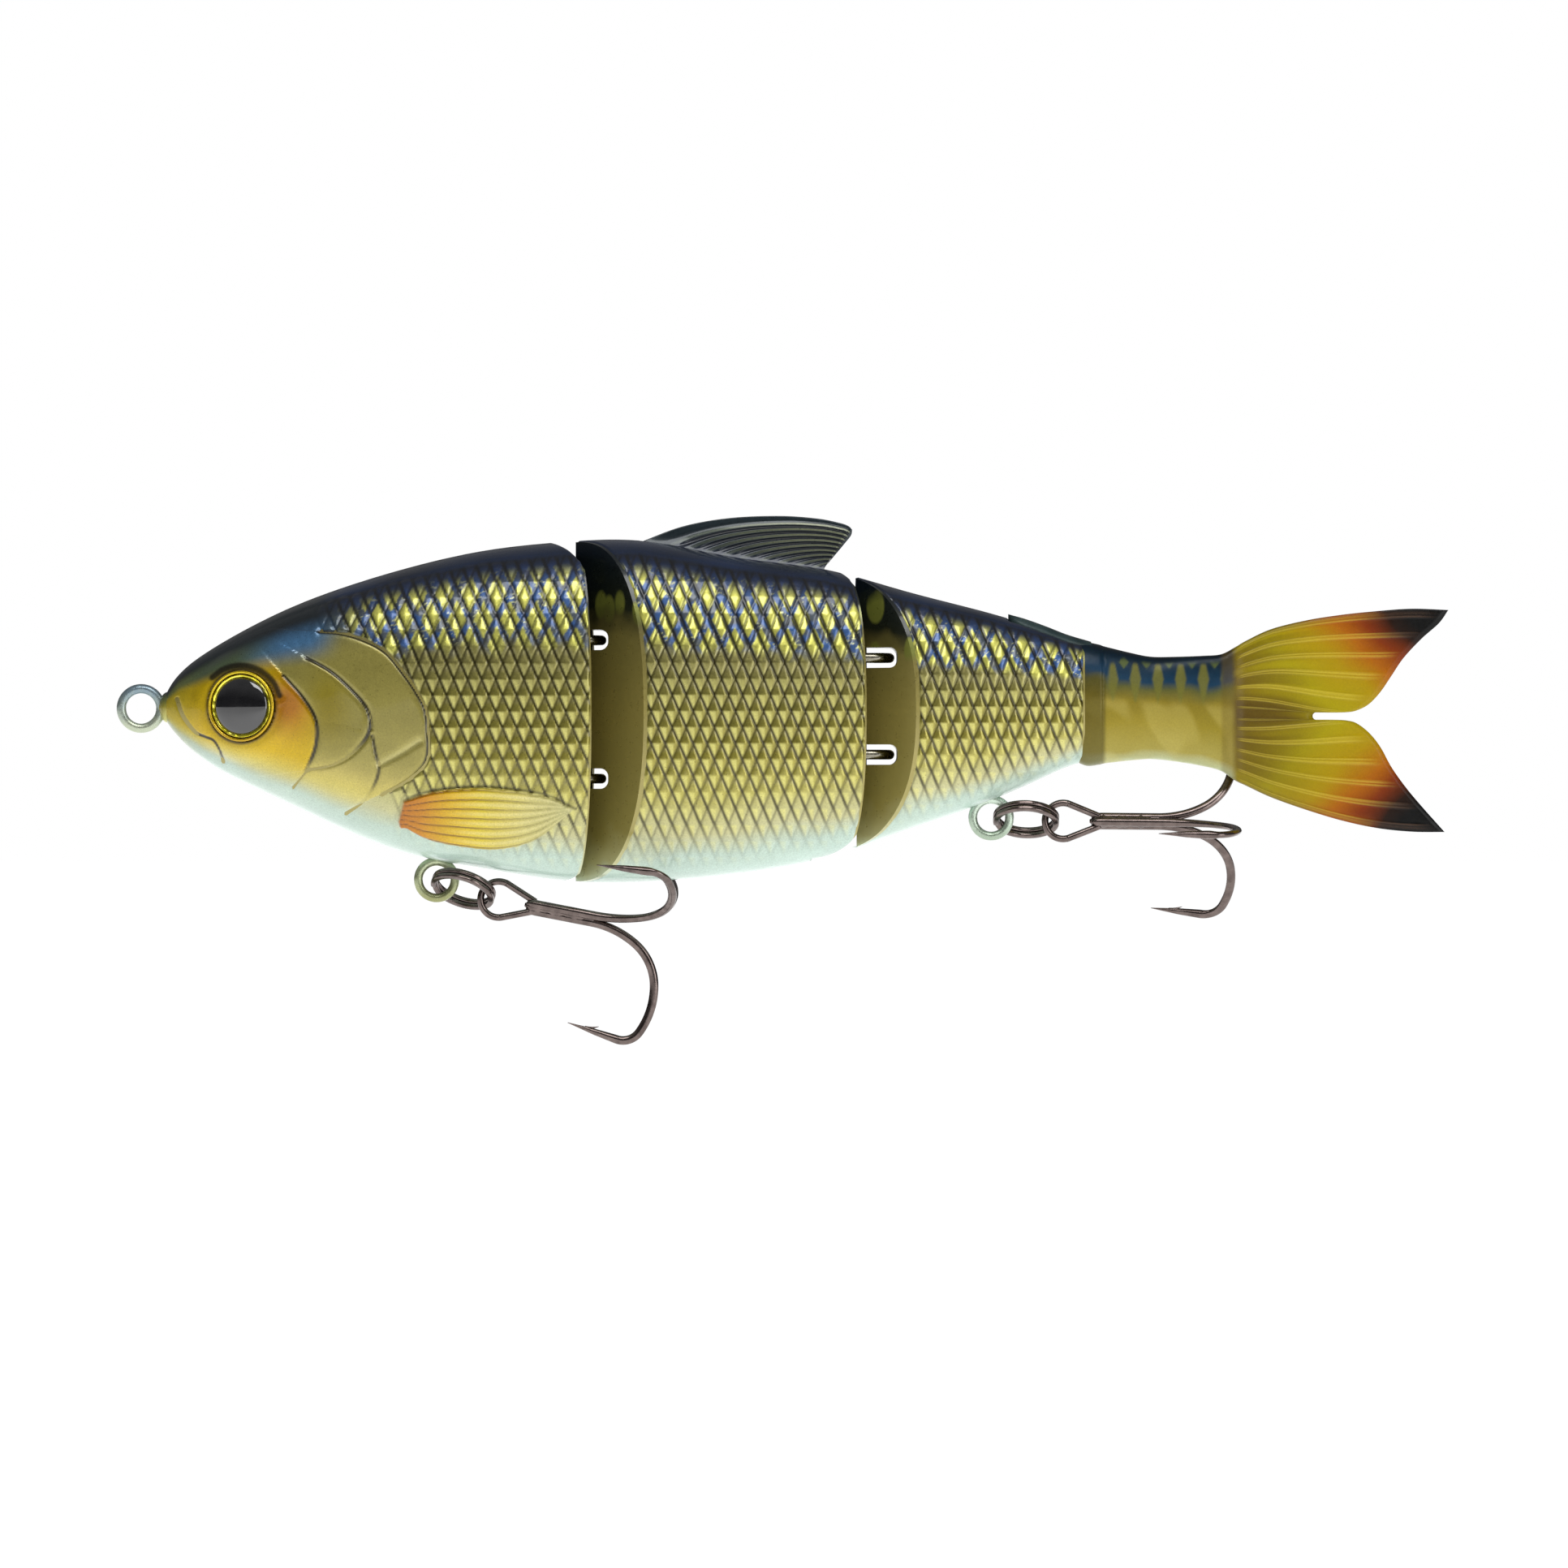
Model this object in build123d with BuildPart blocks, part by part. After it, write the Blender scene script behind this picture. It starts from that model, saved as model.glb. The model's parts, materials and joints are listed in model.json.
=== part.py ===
"""A three-section hard swimbait with a soft tail, two split rings and two treble hooks.

Millimetres. The origin is the centre of the line tie's hole, +X runs from the nose to the tail,
+Z is up and Y runs across the body. The fish's left side is at -Y.
"""

from math import acos, atan2, cos, radians, sin, sqrt
import os

from build123d import *

os.makedirs("parts", exist_ok=True)

# ---------------------------------------------------------------- driving dimensions

# Body sections across X: (x, top, bottom, half width). Each is a superellipse.
BODY = [
    (4.0, 2.2, -1.9, 1.9),
    (6.2, 5.5, -4.7, 3.5),
    (10.2, 8.7, -8.1, 5.6),
    (16.0, 12.1, -11.4, 8.1),
    (23.0, 15.5, -14.7, 10.2),
    (31.0, 18.6, -18.5, 11.8),
    (42.0, 22.0, -22.8, 13.0),
    (55.0, 24.9, -25.4, 13.5),
    (67.0, 26.2, -27.2, 13.6),
    (79.0, 26.4, -27.4, 13.3),
    (94.0, 23.8, -26.1, 12.4),
    (108.0, 21.9, -23.6, 11.0),
    (121.0, 18.4, -19.2, 9.5),
    (133.7, 15.1, -14.8, 7.5),
    (143.0, 12.2, -10.8, 5.9),
    (149.3, 10.4, -8.4, 4.9),
]
ROUNDNESS = 2.4  # superellipse exponent of every section: 2 is an ellipse
SECTION_POINTS = 20

REACH = 60.0  # past the outside of the body in any direction

# Front hinge: a wedge in a shallow groove, with a vertical pin near the wedge's apex
GROOVE_X1, GROOVE_SLOPE1 = 68.2, 0.252
RIM_X1 = 71.6
RIM_CORNERS1 = [(26.3, 9.0), (-27.3, 5.5)]  # (z, radius) of the rear corners in side view
WEDGE_X1, WEDGE_SLOPE1 = 68.5, 0.85
PIN_X1, PIN_R = 70.5, 1.0
PIN_Z1 = (-21.0, 20.0)
LOOP_Z1 = (-11.1, 10.8)
LOOP_BEND_X1 = 70.5  # centre of the wire loop's round end
LOOP_FOOT_X1 = 57.0

# Rear hinge
GROOVE_X2, GROOVE_SLOPE2 = 111.4, 0.33
RIM_X2 = 115.0
RIM_CORNERS2 = [(22.6, 9.0), (-23.6, 9.0)]
WEDGE_X2, WEDGE_SLOPE2 = 111.9, 1.15
WEDGE_CORNER_X2, WEDGE_CORNER_Z2 = 113.3, 15.0
PIN_X2 = 113.9
PIN_Z2 = (-15.5, 14.0)
LOOP_Z2 = (-7.3, 8.0)
LOOP_BEND_X2 = 116.1
LOOP_FOOT_X2 = 101.5

# Wire loops of both hinges and the slots that they swing in
LOOP_R, LOOP_WIRE_R = 2.4, 0.78
LOOP_FOOT, LOOP_BEND_R = 2.6, 1.4  # how far each end turns outward, and the radius of that bend
SLOT_HEIGHT, SLOT_CLEARANCE, SLOT_CORNER_R = 3.2, 0.4, 1.28
SLOT_FRONT = 8.0  # the cut starts this far ahead of the pin, outside the wedge

# Line tie and belly hangers
TIE_R, TIE_WIRE_R, TIE_HOLE_R = 3.1, 0.78, 2.4
TIE_SHANK_X, TIE_KNOB, TIE_KNOB_R = 18.0, 3.0, 1.4
HANGER_R, HANGER_WIRE_R = 2.9, 0.7
HANGER_1 = (46.8, -27.1)
HANGER_2 = (134.6, -17.3)
HANGER_SHANK, HANGER_KNOB, HANGER_KNOB_R = 10.0, 2.0, 1.6

# Split rings: centre line radius, wire across and along the ring's axis, and the tilt about its long axis
RING_R, RING_ACROSS, RING_ALONG, RING_TILT = 4.75, 1.0, 1.75, 63.0
RING_GROOVE_WIDTH, RING_GROOVE_DEPTH = 0.12, 0.25
RING_1_OFFSET, RING_1_SLOPE = -0.3, 18.0  # from the hanger's centre, and degrees down toward the tail
RING_2_OFFSET, RING_2_SLOPE = 0.8, 3.0

# Treble hooks, along the shank (s) and out from it (r)
HOOK_WIRE_R, HOOK_POINT_R = 0.7, 0.1
HOOK_EYE_R, HOOK_EYE_WIRE_R, HOOK_EYE_END = 2.85, 0.55, 8.6
HOOK_RING_S = 2.3  # where the ring passes through the eye
SHANK_R, SHANK_FROM, SHANK_TO = 1.45, 7.4, 19.0
PRONG_START_R, PRONG_FROM, PRONG_STRAIGHT_TO = 0.72, 15.0, 18.5
PRONG_BENDS = [(14.7, 30), (9.0, 49), (12.4, 36), (3.15, 73)]  # radius and turn of each arc
POINT_LENGTH = 8.2
BARB, BARB_HALF_THICKNESS = [(22.0, 17.3), (23.3, 16.1), (24.3, 17.6)], 0.25
HOOK_1_SLOPE, HOOK_1_ROLL = 11.0, 0.0
HOOK_2_SLOPE, HOOK_2_ROLL = 0.5, 36.0

# Eyes
EYE_X, EYE_Z, EYE_Y, EYE_YAW = 16.4, 0.3, 8.15, 19.0
EYE_R, PUPIL_R = 5.9, 4.35
EYE_DEPTH, EYE_RIM, EYE_EDGE_R, PUPIL_DOME = 1.8, 0.35, 0.3, 1.25

# Ballast slugs lie across the body, in pockets shared by both halves: (x, z, radius, half length)
BALLAST_HEAD = [(31.4, -9.6, 3.2, 6.0), (40.2, -14.0, 3.6, 6.8), (56.4, -18.4, 3.6, 6.4)]
BALLAST_MID = [(84.0, -16.8, 4.2, 7.0), (97.0, -16.4, 4.0, 6.6)]
BALLAST_REAR = [(126.5, -9.4, 2.8, 4.0)]

# Air chambers: (x, top, bottom, half width) of each section
CHAMBER_HEAD = [(22.0, 8.5, -3.0, 5.2), (34.0, 16.0, -4.4, 9.8), (53.5, 22.4, -10.5, 11.6)]
CHAMBER_MID = [(77.6, 19.6, -9.0, 6.6), (88.0, 21.0, -9.8, 10.6), (98.5, 18.4, -9.8, 9.8)]
CHAMBER_REAR = [(122.3, 14.0, -4.5, 5.2), (129.0, 13.4, -5.0, 6.6), (138.0, 8.8, -6.5, 5.0)]

# Dorsal fin
FIN_HALF_THICKNESS, FIN_ROOT_DEPTH = 0.8, 2.2
FIN_ROOT_INSET = (3.0, 2.0)  # how far the root is shorter than the fin, ahead and behind
FIN_TOP = [(78.6, 26.2), (85.6, 28.8), (93.0, 30.2), (101.0, 30.6), (108.5, 30.0), (112.7, 27.7)]
FIN_REAR = [(112.7, 27.7), (110.2, 24.6), (107.6, 22.5)]

# Soft tail: the peduncle's sections as for the body, and the fin's outline
PEDUNCLE = [
    (149.3, 10.5, -9.0, 4.9),
    (152.2, 10.0, -8.8, 4.5),
    (157.0, 8.7, -8.2, 3.7),
    (163.0, 8.1, -8.3, 2.9),
    (167.5, 8.3, -9.0, 2.5),
    (171.0, 8.6, -9.8, 2.3),
]
PLUG_X, PLUG_HALF_HEIGHT, PLUG_HALF_WIDTH = 141.0, 6.0, 2.6
PLUG_BULB_R, PLUG_BULB_X, PLUG_CORNER_R, PLUG_OVERLAP = 3.4, 144.9, 2.0, 1.0
TONGUE = [(137.2, 14.9), (143.1, 13.0), (149.6, 10.6), (149.6, 7.8), (141.0, 10.0), (137.0, 11.6)]
TONGUE_HALF_WIDTH = 2.2
FLEX_X, FLEX_R, FLEX_GAP, PEDUNCLE_END = 172.0, 2.15, 0.3, 170.6
FIN_ROOT = [
    (169.0, 8.4, -9.4, 2.3),
    (172.5, 9.2, -10.9, 2.15),
    (177.0, 11.6, -13.2, 1.6),
    (183.0, 13.6, -15.6, 1.0),
]
BLADE_HALF_THICKNESS = 0.7
BLADE_UPPER = [(172.5, 9.2), (179.0, 12.6), (190.2, 14.9), (201.3, 15.9), (207.0, 15.7)]
BLADE_UPPER_REAR = [(207.0, 15.7), (202.7, 11.0), (198.0, 5.2), (194.2, 0.6), (190.6, -0.6)]
SLIT = [(190.6, -0.6), (186.2, -0.65), (185.6, -1.2), (186.2, -1.75), (190.6, -1.8)]
BLADE_LOWER_REAR = [(190.6, -1.8), (194.6, -4.0), (198.0, -9.2), (202.7, -15.4), (206.4, -19.5)]
BLADE_LOWER = [(206.4, -19.5), (195.7, -19.1), (184.6, -16.1), (177.5, -13.4), (172.5, -10.9)]


def finish(piece, name):
    """Labels a finished piece and writes it as its own file."""
    piece.part.label = name
    export_step(piece.part, f"parts/{name}.step")


def cross_section(x, top, bottom, half_width):
    """The superellipse across the body at x."""
    middle, half_height = (top + bottom) / 2, (top - bottom) / 2
    outline = []
    for k in range(SECTION_POINTS):
        c, s = cos(radians(360 * k / SECTION_POINTS)), sin(radians(360 * k / SECTION_POINTS))
        y = half_width * abs(c) ** (2 / ROUNDNESS) * (1 if c > 0 else -1)
        z = half_height * abs(s) ** (2 / ROUNDNESS) * (1 if s > 0 else -1)
        outline.append((y, middle + z))
    with BuildSketch(Plane.YZ.offset(x)) as section:
        with BuildLine():
            Spline(outline, periodic=True)
        make_face()
    return section.sketch


def lofted(sections):
    """A smooth solid through a list of cross sections."""
    with BuildPart() as solid:
        loft([cross_section(*section) for section in sections])
    return solid.part


def wedge(x, slope, mode, corner=0.0):
    """Keeps or removes the region behind a vertical V edge at x whose sides run back by slope."""
    with BuildSketch() as plan:
        with BuildLine():
            Polyline((x, 0), (x + slope * REACH, REACH), (x + 3 * REACH, REACH),
                     (x + 3 * REACH, -REACH), (x + slope * REACH, -REACH), close=True)
        make_face()
        if corner:
            fillet(plan.vertices().sort_by(Axis.X)[0], corner)
    extrude(plan.sketch, amount=REACH, both=True, mode=mode)


def trim_rear(rim_x, corners):
    """Ends a section at rim_x and rounds its rear corners. corners are (z, radius), seen from the side."""
    with BuildSketch(Plane.XZ) as behind:
        with Locations((rim_x + REACH, 0)):
            Rectangle(2 * REACH, 2 * REACH)
    extrude(behind.sketch, amount=REACH, both=True, mode=Mode.SUBTRACT)
    for z, radius in corners:
        up = 1 if z > 0 else -1
        with BuildSketch(Plane.XZ) as corner:
            with Locations((rim_x - radius + REACH / 2, z - up * radius + up * REACH / 2)):
                Rectangle(REACH, REACH)
            with Locations((rim_x - radius, z - up * radius)):
                Circle(radius, mode=Mode.SUBTRACT)
        extrude(corner.sketch, amount=REACH, both=True, mode=Mode.SUBTRACT)


def loop_slots(pin_x, wire_end, heights):
    """Cuts the slots that let the hinge loops swing, with round corners at their ends."""
    for z in heights:
        with BuildSketch(Plane.XZ) as slot:
            with BuildLine():
                Polyline((pin_x - SLOT_FRONT, z - SLOT_HEIGHT / 2), (wire_end, z - SLOT_HEIGHT / 2),
                         (wire_end, z + SLOT_HEIGHT / 2), (pin_x - SLOT_FRONT, z + SLOT_HEIGHT / 2),
                         close=True)
            make_face()
            fillet(slot.vertices().group_by(Axis.X)[-1], SLOT_CORNER_R)
        extrude(slot.sketch, amount=REACH, both=True, mode=Mode.SUBTRACT)


def upright_pin(x, z_from, z_to, mode=Mode.ADD):
    """A hinge pin, or with Mode.SUBTRACT its bore."""
    with BuildSketch(Plane.XY.offset(z_from)) as end:
        with Locations((x, 0)):
            Circle(PIN_R)
    extrude(end.sketch, amount=z_to - z_from, mode=mode)


def slugs(places, mode=Mode.ADD):
    """Ballast cylinders across the body."""
    for x, z, radius, half_length in places:
        with BuildSketch(Plane.XZ) as end:
            with Locations((x, z)):
                Circle(radius)
        extrude(end.sketch, amount=half_length, both=True, mode=mode)


def ring_axis(slope):
    """Unit vector toward the tail, tilted down by slope degrees."""
    return Vector(cos(radians(slope)), 0, -sin(radians(slope)))


# ---------------------------------------------------------------- wire parts

def hinge_loop(bend_x, foot_x, z):
    """A U of wire in a level plane, its two ends turned outward in the section ahead."""
    with BuildPart() as loop:
        with BuildLine(Plane.XY.offset(z)) as path:
            foot_1 = FilletPolyline((foot_x, LOOP_R + LOOP_FOOT), (foot_x, LOOP_R), (bend_x, LOOP_R),
                                    radius=LOOP_BEND_R)
            ThreePointArc(foot_1 @ 1, (bend_x + LOOP_R, 0), (bend_x, -LOOP_R))
            FilletPolyline((bend_x, -LOOP_R), (foot_x, -LOOP_R), (foot_x, -LOOP_R - LOOP_FOOT),
                           radius=LOOP_BEND_R)
        with BuildSketch(Plane(origin=path.wires()[0] @ 0, z_dir=path.wires()[0] % 0)):
            Circle(LOOP_WIRE_R)
        sweep(path=path.wires()[0])
    return loop


hinge_loops = {}
for name, bend_x, foot_x, heights in (("front", LOOP_BEND_X1, LOOP_FOOT_X1, LOOP_Z1),
                                      ("rear", LOOP_BEND_X2, LOOP_FOOT_X2, LOOP_Z2)):
    for place, z in zip(("lower", "upper"), heights):
        hinge_loops[name, place] = hinge_loop(bend_x, foot_x, z)
        finish(hinge_loops[name, place], f"hinge_loop_{name}_{place}")

for name, x, (z_from, z_to) in (("front", PIN_X1, PIN_Z1), ("rear", PIN_X2, PIN_Z2)):
    with BuildPart() as hinge_pin:
        upright_pin(x, z_from, z_to)
    finish(hinge_pin, f"hinge_pin_{name}")

# The line tie is a closed eye with a narrow flat round its hole, and a shank set in the nose.
with BuildPart() as line_tie:
    with Locations(Plane.XZ.location):
        Torus(TIE_R, TIE_WIRE_R)
    with BuildSketch(Plane.YZ.offset(TIE_R)):
        Circle(TIE_WIRE_R)
    extrude(amount=TIE_SHANK_X - TIE_R)
    with BuildSketch(Plane.YZ.offset(TIE_SHANK_X - TIE_KNOB)):
        Circle(TIE_KNOB_R)
    extrude(amount=TIE_KNOB)
    with BuildSketch(Plane.XZ):
        Circle(TIE_HOLE_R)
    extrude(amount=TIE_WIRE_R * 2, both=True, mode=Mode.SUBTRACT)
finish(line_tie, "line_tie")


def belly_hanger(x, z):
    """A closed wire eye below the belly, its shank and knob set in the body."""
    with BuildPart() as hanger:
        with Locations(Plane(origin=(x, 0, z), z_dir=(0, 1, 0)).location):
            Torus(HANGER_R, HANGER_WIRE_R)
        with BuildSketch(Plane.XY.offset(z + HANGER_R)):
            with Locations((x, 0)):
                Circle(HANGER_WIRE_R)
        extrude(amount=HANGER_SHANK)
        with BuildSketch(Plane.XY.offset(z + HANGER_R + HANGER_SHANK - HANGER_KNOB)):
            with Locations((x, 0)):
                Circle(HANGER_KNOB_R)
        extrude(amount=HANGER_KNOB)
    return hanger


hanger_front = belly_hanger(*HANGER_1)
finish(hanger_front, "belly_hanger_front")
hanger_rear = belly_hanger(*HANGER_2)
finish(hanger_rear, "belly_hanger_rear")

# ---------------------------------------------------------------- eyes


def eye_plane(side):
    """The plane of an eye, on the cheek and facing outward. side is -1 on the left."""
    out = Vector(-sin(radians(EYE_YAW)), side * cos(radians(EYE_YAW)), 0)
    return Plane(origin=(EYE_X, side * EYE_Y, EYE_Z), x_dir=(0, 0, 1), z_dir=out)


SIDES = {"left": -1, "right": 1}
DOME_R = (PUPIL_R**2 + PUPIL_DOME**2) / (2 * PUPIL_DOME)
for name, side in SIDES.items():
    cheek = eye_plane(side)
    outward = Axis(cheek.origin, cheek.z_dir)
    with BuildPart() as eye_ring:
        with BuildSketch(cheek.offset(-EYE_DEPTH)):
            Circle(EYE_R)
            Circle(PUPIL_R, mode=Mode.SUBTRACT)
        extrude(amount=EYE_DEPTH + EYE_RIM)
        fillet(eye_ring.edges().filter_by(GeomType.CIRCLE).group_by(outward)[-1], EYE_EDGE_R)
    finish(eye_ring, f"eye_ring_{name}")
    with BuildPart() as eye_pupil:
        with Locations(cheek.offset(PUPIL_DOME - DOME_R).location):
            Sphere(DOME_R)
        with BuildSketch(cheek.offset(-EYE_DEPTH)):
            Circle(PUPIL_R)
        extrude(amount=2 * EYE_DEPTH, mode=Mode.INTERSECT)
    finish(eye_pupil, f"eye_pupil_{name}")

# ---------------------------------------------------------------- soft tail

peduncle = lofted(PEDUNCLE)
PLUG_END = PEDUNCLE[0][0] + PLUG_OVERLAP
with BuildPart() as tail_peduncle:
    add(peduncle)
    with BuildSketch(Plane.XZ) as plug_side:
        with BuildLine():
            Polyline((PLUG_X, -PLUG_HALF_HEIGHT), (PLUG_END, -PLUG_HALF_HEIGHT),
                     (PLUG_END, PLUG_HALF_HEIGHT), (PLUG_X, PLUG_HALF_HEIGHT), close=True)
        make_face()
        fillet(plug_side.vertices().group_by(Axis.X)[0], PLUG_CORNER_R)
    extrude(amount=PLUG_HALF_WIDTH, both=True)
    with BuildSketch(Plane.XY.offset(-PLUG_HALF_HEIGHT + PLUG_OVERLAP)):
        with Locations((PLUG_BULB_X, 0)):
            Circle(PLUG_BULB_R)
    extrude(amount=2 * (PLUG_HALF_HEIGHT - PLUG_OVERLAP))
    with BuildSketch(Plane.XZ):
        with BuildLine():
            Polyline(TONGUE, close=True)
        make_face()
    extrude(amount=TONGUE_HALF_WIDTH, both=True)
    with BuildSketch(Plane.XY.offset(-REACH)):
        with Locations((FLEX_X, 0)):
            Circle(FLEX_R + FLEX_GAP)
    extrude(amount=2 * REACH, mode=Mode.SUBTRACT)
    with BuildSketch(Plane.YZ.offset(PEDUNCLE_END)):
        Rectangle(REACH, REACH)
    extrude(amount=REACH, mode=Mode.SUBTRACT)
finish(tail_peduncle, "tail_peduncle")

fin_root = lofted(FIN_ROOT)
with BuildPart() as tail_fin:
    add(fin_root)
    with BuildSketch(Plane.XZ):
        with BuildLine():
            Spline(BLADE_UPPER, tangents=[(1, 0.5), (1, -0.05)])
            Spline(BLADE_UPPER_REAR, tangents=[(-0.8, -1), (-1, -0.1)])
            Line(SLIT[0], SLIT[1])
            ThreePointArc(SLIT[1], SLIT[2], SLIT[3])
            Line(SLIT[3], SLIT[4])
            Spline(BLADE_LOWER_REAR, tangents=[(1, -0.2), (0.9, -1)])
            Spline(BLADE_LOWER, tangents=[(-1, 0.05), (-1, 0.55)])
            Line(BLADE_LOWER[-1], BLADE_UPPER[0])
        make_face()
    extrude(amount=BLADE_HALF_THICKNESS, both=True)
    with BuildSketch(Plane.XY.offset(-REACH)):
        with Locations((FLEX_X, 0)):
            Circle(FLEX_R)
        with Locations((FLEX_X + REACH / 2, 0)):
            Rectangle(REACH, 2 * FLEX_R)
    extrude(amount=2 * REACH, mode=Mode.INTERSECT)
finish(tail_fin, "tail_fin")

# ---------------------------------------------------------------- dorsal fin

with BuildPart() as dorsal_fin:
    with BuildSketch(Plane.XZ):
        with BuildLine():
            Spline(FIN_TOP, tangents=[(1, 0.5), (0.8, -0.6)])
            Spline(FIN_REAR, tangents=[(-0.5, -1), (-1, -0.7)])
            Polyline(FIN_REAR[-1], (FIN_REAR[-1][0] - FIN_ROOT_INSET[1], FIN_REAR[-1][1] - FIN_ROOT_DEPTH),
                     (FIN_TOP[0][0] + FIN_ROOT_INSET[0], FIN_TOP[0][1] - FIN_ROOT_DEPTH), FIN_TOP[0])
        make_face()
    extrude(amount=FIN_HALF_THICKNESS, both=True)
finish(dorsal_fin, "dorsal_fin")

# ---------------------------------------------------------------- body shells

fish = lofted(BODY)
head_chamber = lofted(CHAMBER_HEAD)
middle_chamber = lofted(CHAMBER_MID)
rear_chamber = lofted(CHAMBER_REAR)

with BuildPart() as head:
    add(fish)
    trim_rear(RIM_X1, RIM_CORNERS1)
    wedge(GROOVE_X1, GROOVE_SLOPE1, Mode.SUBTRACT)
    add(head_chamber, mode=Mode.SUBTRACT)
    slugs(BALLAST_HEAD, Mode.SUBTRACT)
    add(line_tie.part, mode=Mode.SUBTRACT)
    add(hanger_front.part, mode=Mode.SUBTRACT)
    add(hinge_loops["front", "lower"].part, mode=Mode.SUBTRACT)
    add(hinge_loops["front", "upper"].part, mode=Mode.SUBTRACT)
    for side in SIDES.values():
        with BuildSketch(eye_plane(side).offset(-EYE_DEPTH)):
            Circle(EYE_R)
        extrude(amount=EYE_DEPTH * 4, mode=Mode.SUBTRACT)

with BuildPart() as middle:
    add(fish)
    trim_rear(RIM_X2, RIM_CORNERS2)
    wedge(WEDGE_X1, WEDGE_SLOPE1, Mode.INTERSECT, corner=1.0)
    wedge(GROOVE_X2, GROOVE_SLOPE2, Mode.SUBTRACT)
    loop_slots(PIN_X1, LOOP_BEND_X1 + LOOP_R + LOOP_WIRE_R + SLOT_CLEARANCE, LOOP_Z1)
    upright_pin(PIN_X1, *PIN_Z1, Mode.SUBTRACT)
    add(middle_chamber, mode=Mode.SUBTRACT)
    slugs(BALLAST_MID, Mode.SUBTRACT)
    add(dorsal_fin.part, mode=Mode.SUBTRACT)
    add(hinge_loops["rear", "lower"].part, mode=Mode.SUBTRACT)
    add(hinge_loops["rear", "upper"].part, mode=Mode.SUBTRACT)

with BuildPart() as rear:
    add(fish)
    wedge(WEDGE_X2, WEDGE_SLOPE2, Mode.INTERSECT, corner=0.6)
    for up in (-1, 1):
        with BuildSketch(Plane.XZ):
            with Locations((WEDGE_CORNER_X2 - REACH / 2, up * (WEDGE_CORNER_Z2 + REACH / 2))):
                Rectangle(REACH, REACH)
        extrude(amount=REACH, both=True, mode=Mode.SUBTRACT)
    loop_slots(PIN_X2, LOOP_BEND_X2 + LOOP_R + LOOP_WIRE_R + SLOT_CLEARANCE, LOOP_Z2)
    upright_pin(PIN_X2, *PIN_Z2, Mode.SUBTRACT)
    add(rear_chamber, mode=Mode.SUBTRACT)
    slugs(BALLAST_REAR, Mode.SUBTRACT)
    add(hanger_rear.part, mode=Mode.SUBTRACT)
    add(tail_peduncle.part, mode=Mode.SUBTRACT)

for section, whole in (("head", head), ("middle", middle), ("rear", rear)):
    for name, keep in (("left", Keep.TOP), ("right", Keep.BOTTOM)):
        with BuildPart() as shell:
            add(whole.part)
            split(bisect_by=Plane.XZ, keep=keep)
        finish(shell, f"{section}_shell_{name}")

for section, places in (("head", BALLAST_HEAD), ("middle", BALLAST_MID), ("rear", BALLAST_REAR)):
    with BuildPart() as ballast:
        slugs(places)
    finish(ballast, f"ballast_{section}")

# ---------------------------------------------------------------- split rings and treble hooks


def ring_points(hanger, offset, slope):
    """Where a split ring crosses its hanger and, across its diameter, its hook's eye."""
    crossing = Vector(hanger[0] + offset, 0, hanger[1])
    return crossing, crossing + ring_axis(slope) * 2 * RING_R


def split_ring(hanger, offset, slope):
    """Two flat coils side by side, seen as a washer with a fine groove round its rim."""
    near, far = ring_points(hanger, offset, slope)
    along = ring_axis(slope)
    lift = Vector(sin(radians(slope)), 0, cos(radians(slope)))
    tilted = lift * cos(radians(RING_TILT)) - Vector(0, 1, 0) * sin(radians(RING_TILT))
    level = Plane(origin=(near + far) * 0.5, x_dir=along, z_dir=along.cross(tilted))
    with BuildPart() as ring:
        with BuildSketch(level):
            Circle(RING_R + RING_ACROSS / 2)
            Circle(RING_R - RING_ACROSS / 2, mode=Mode.SUBTRACT)
        extrude(amount=RING_ALONG / 2, both=True)
        with BuildSketch(level):
            Circle(RING_R + RING_ACROSS)
            Circle(RING_R + RING_ACROSS / 2 - RING_GROOVE_DEPTH, mode=Mode.SUBTRACT)
        extrude(amount=RING_GROOVE_WIDTH / 2, both=True, mode=Mode.SUBTRACT)
    return ring


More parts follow.
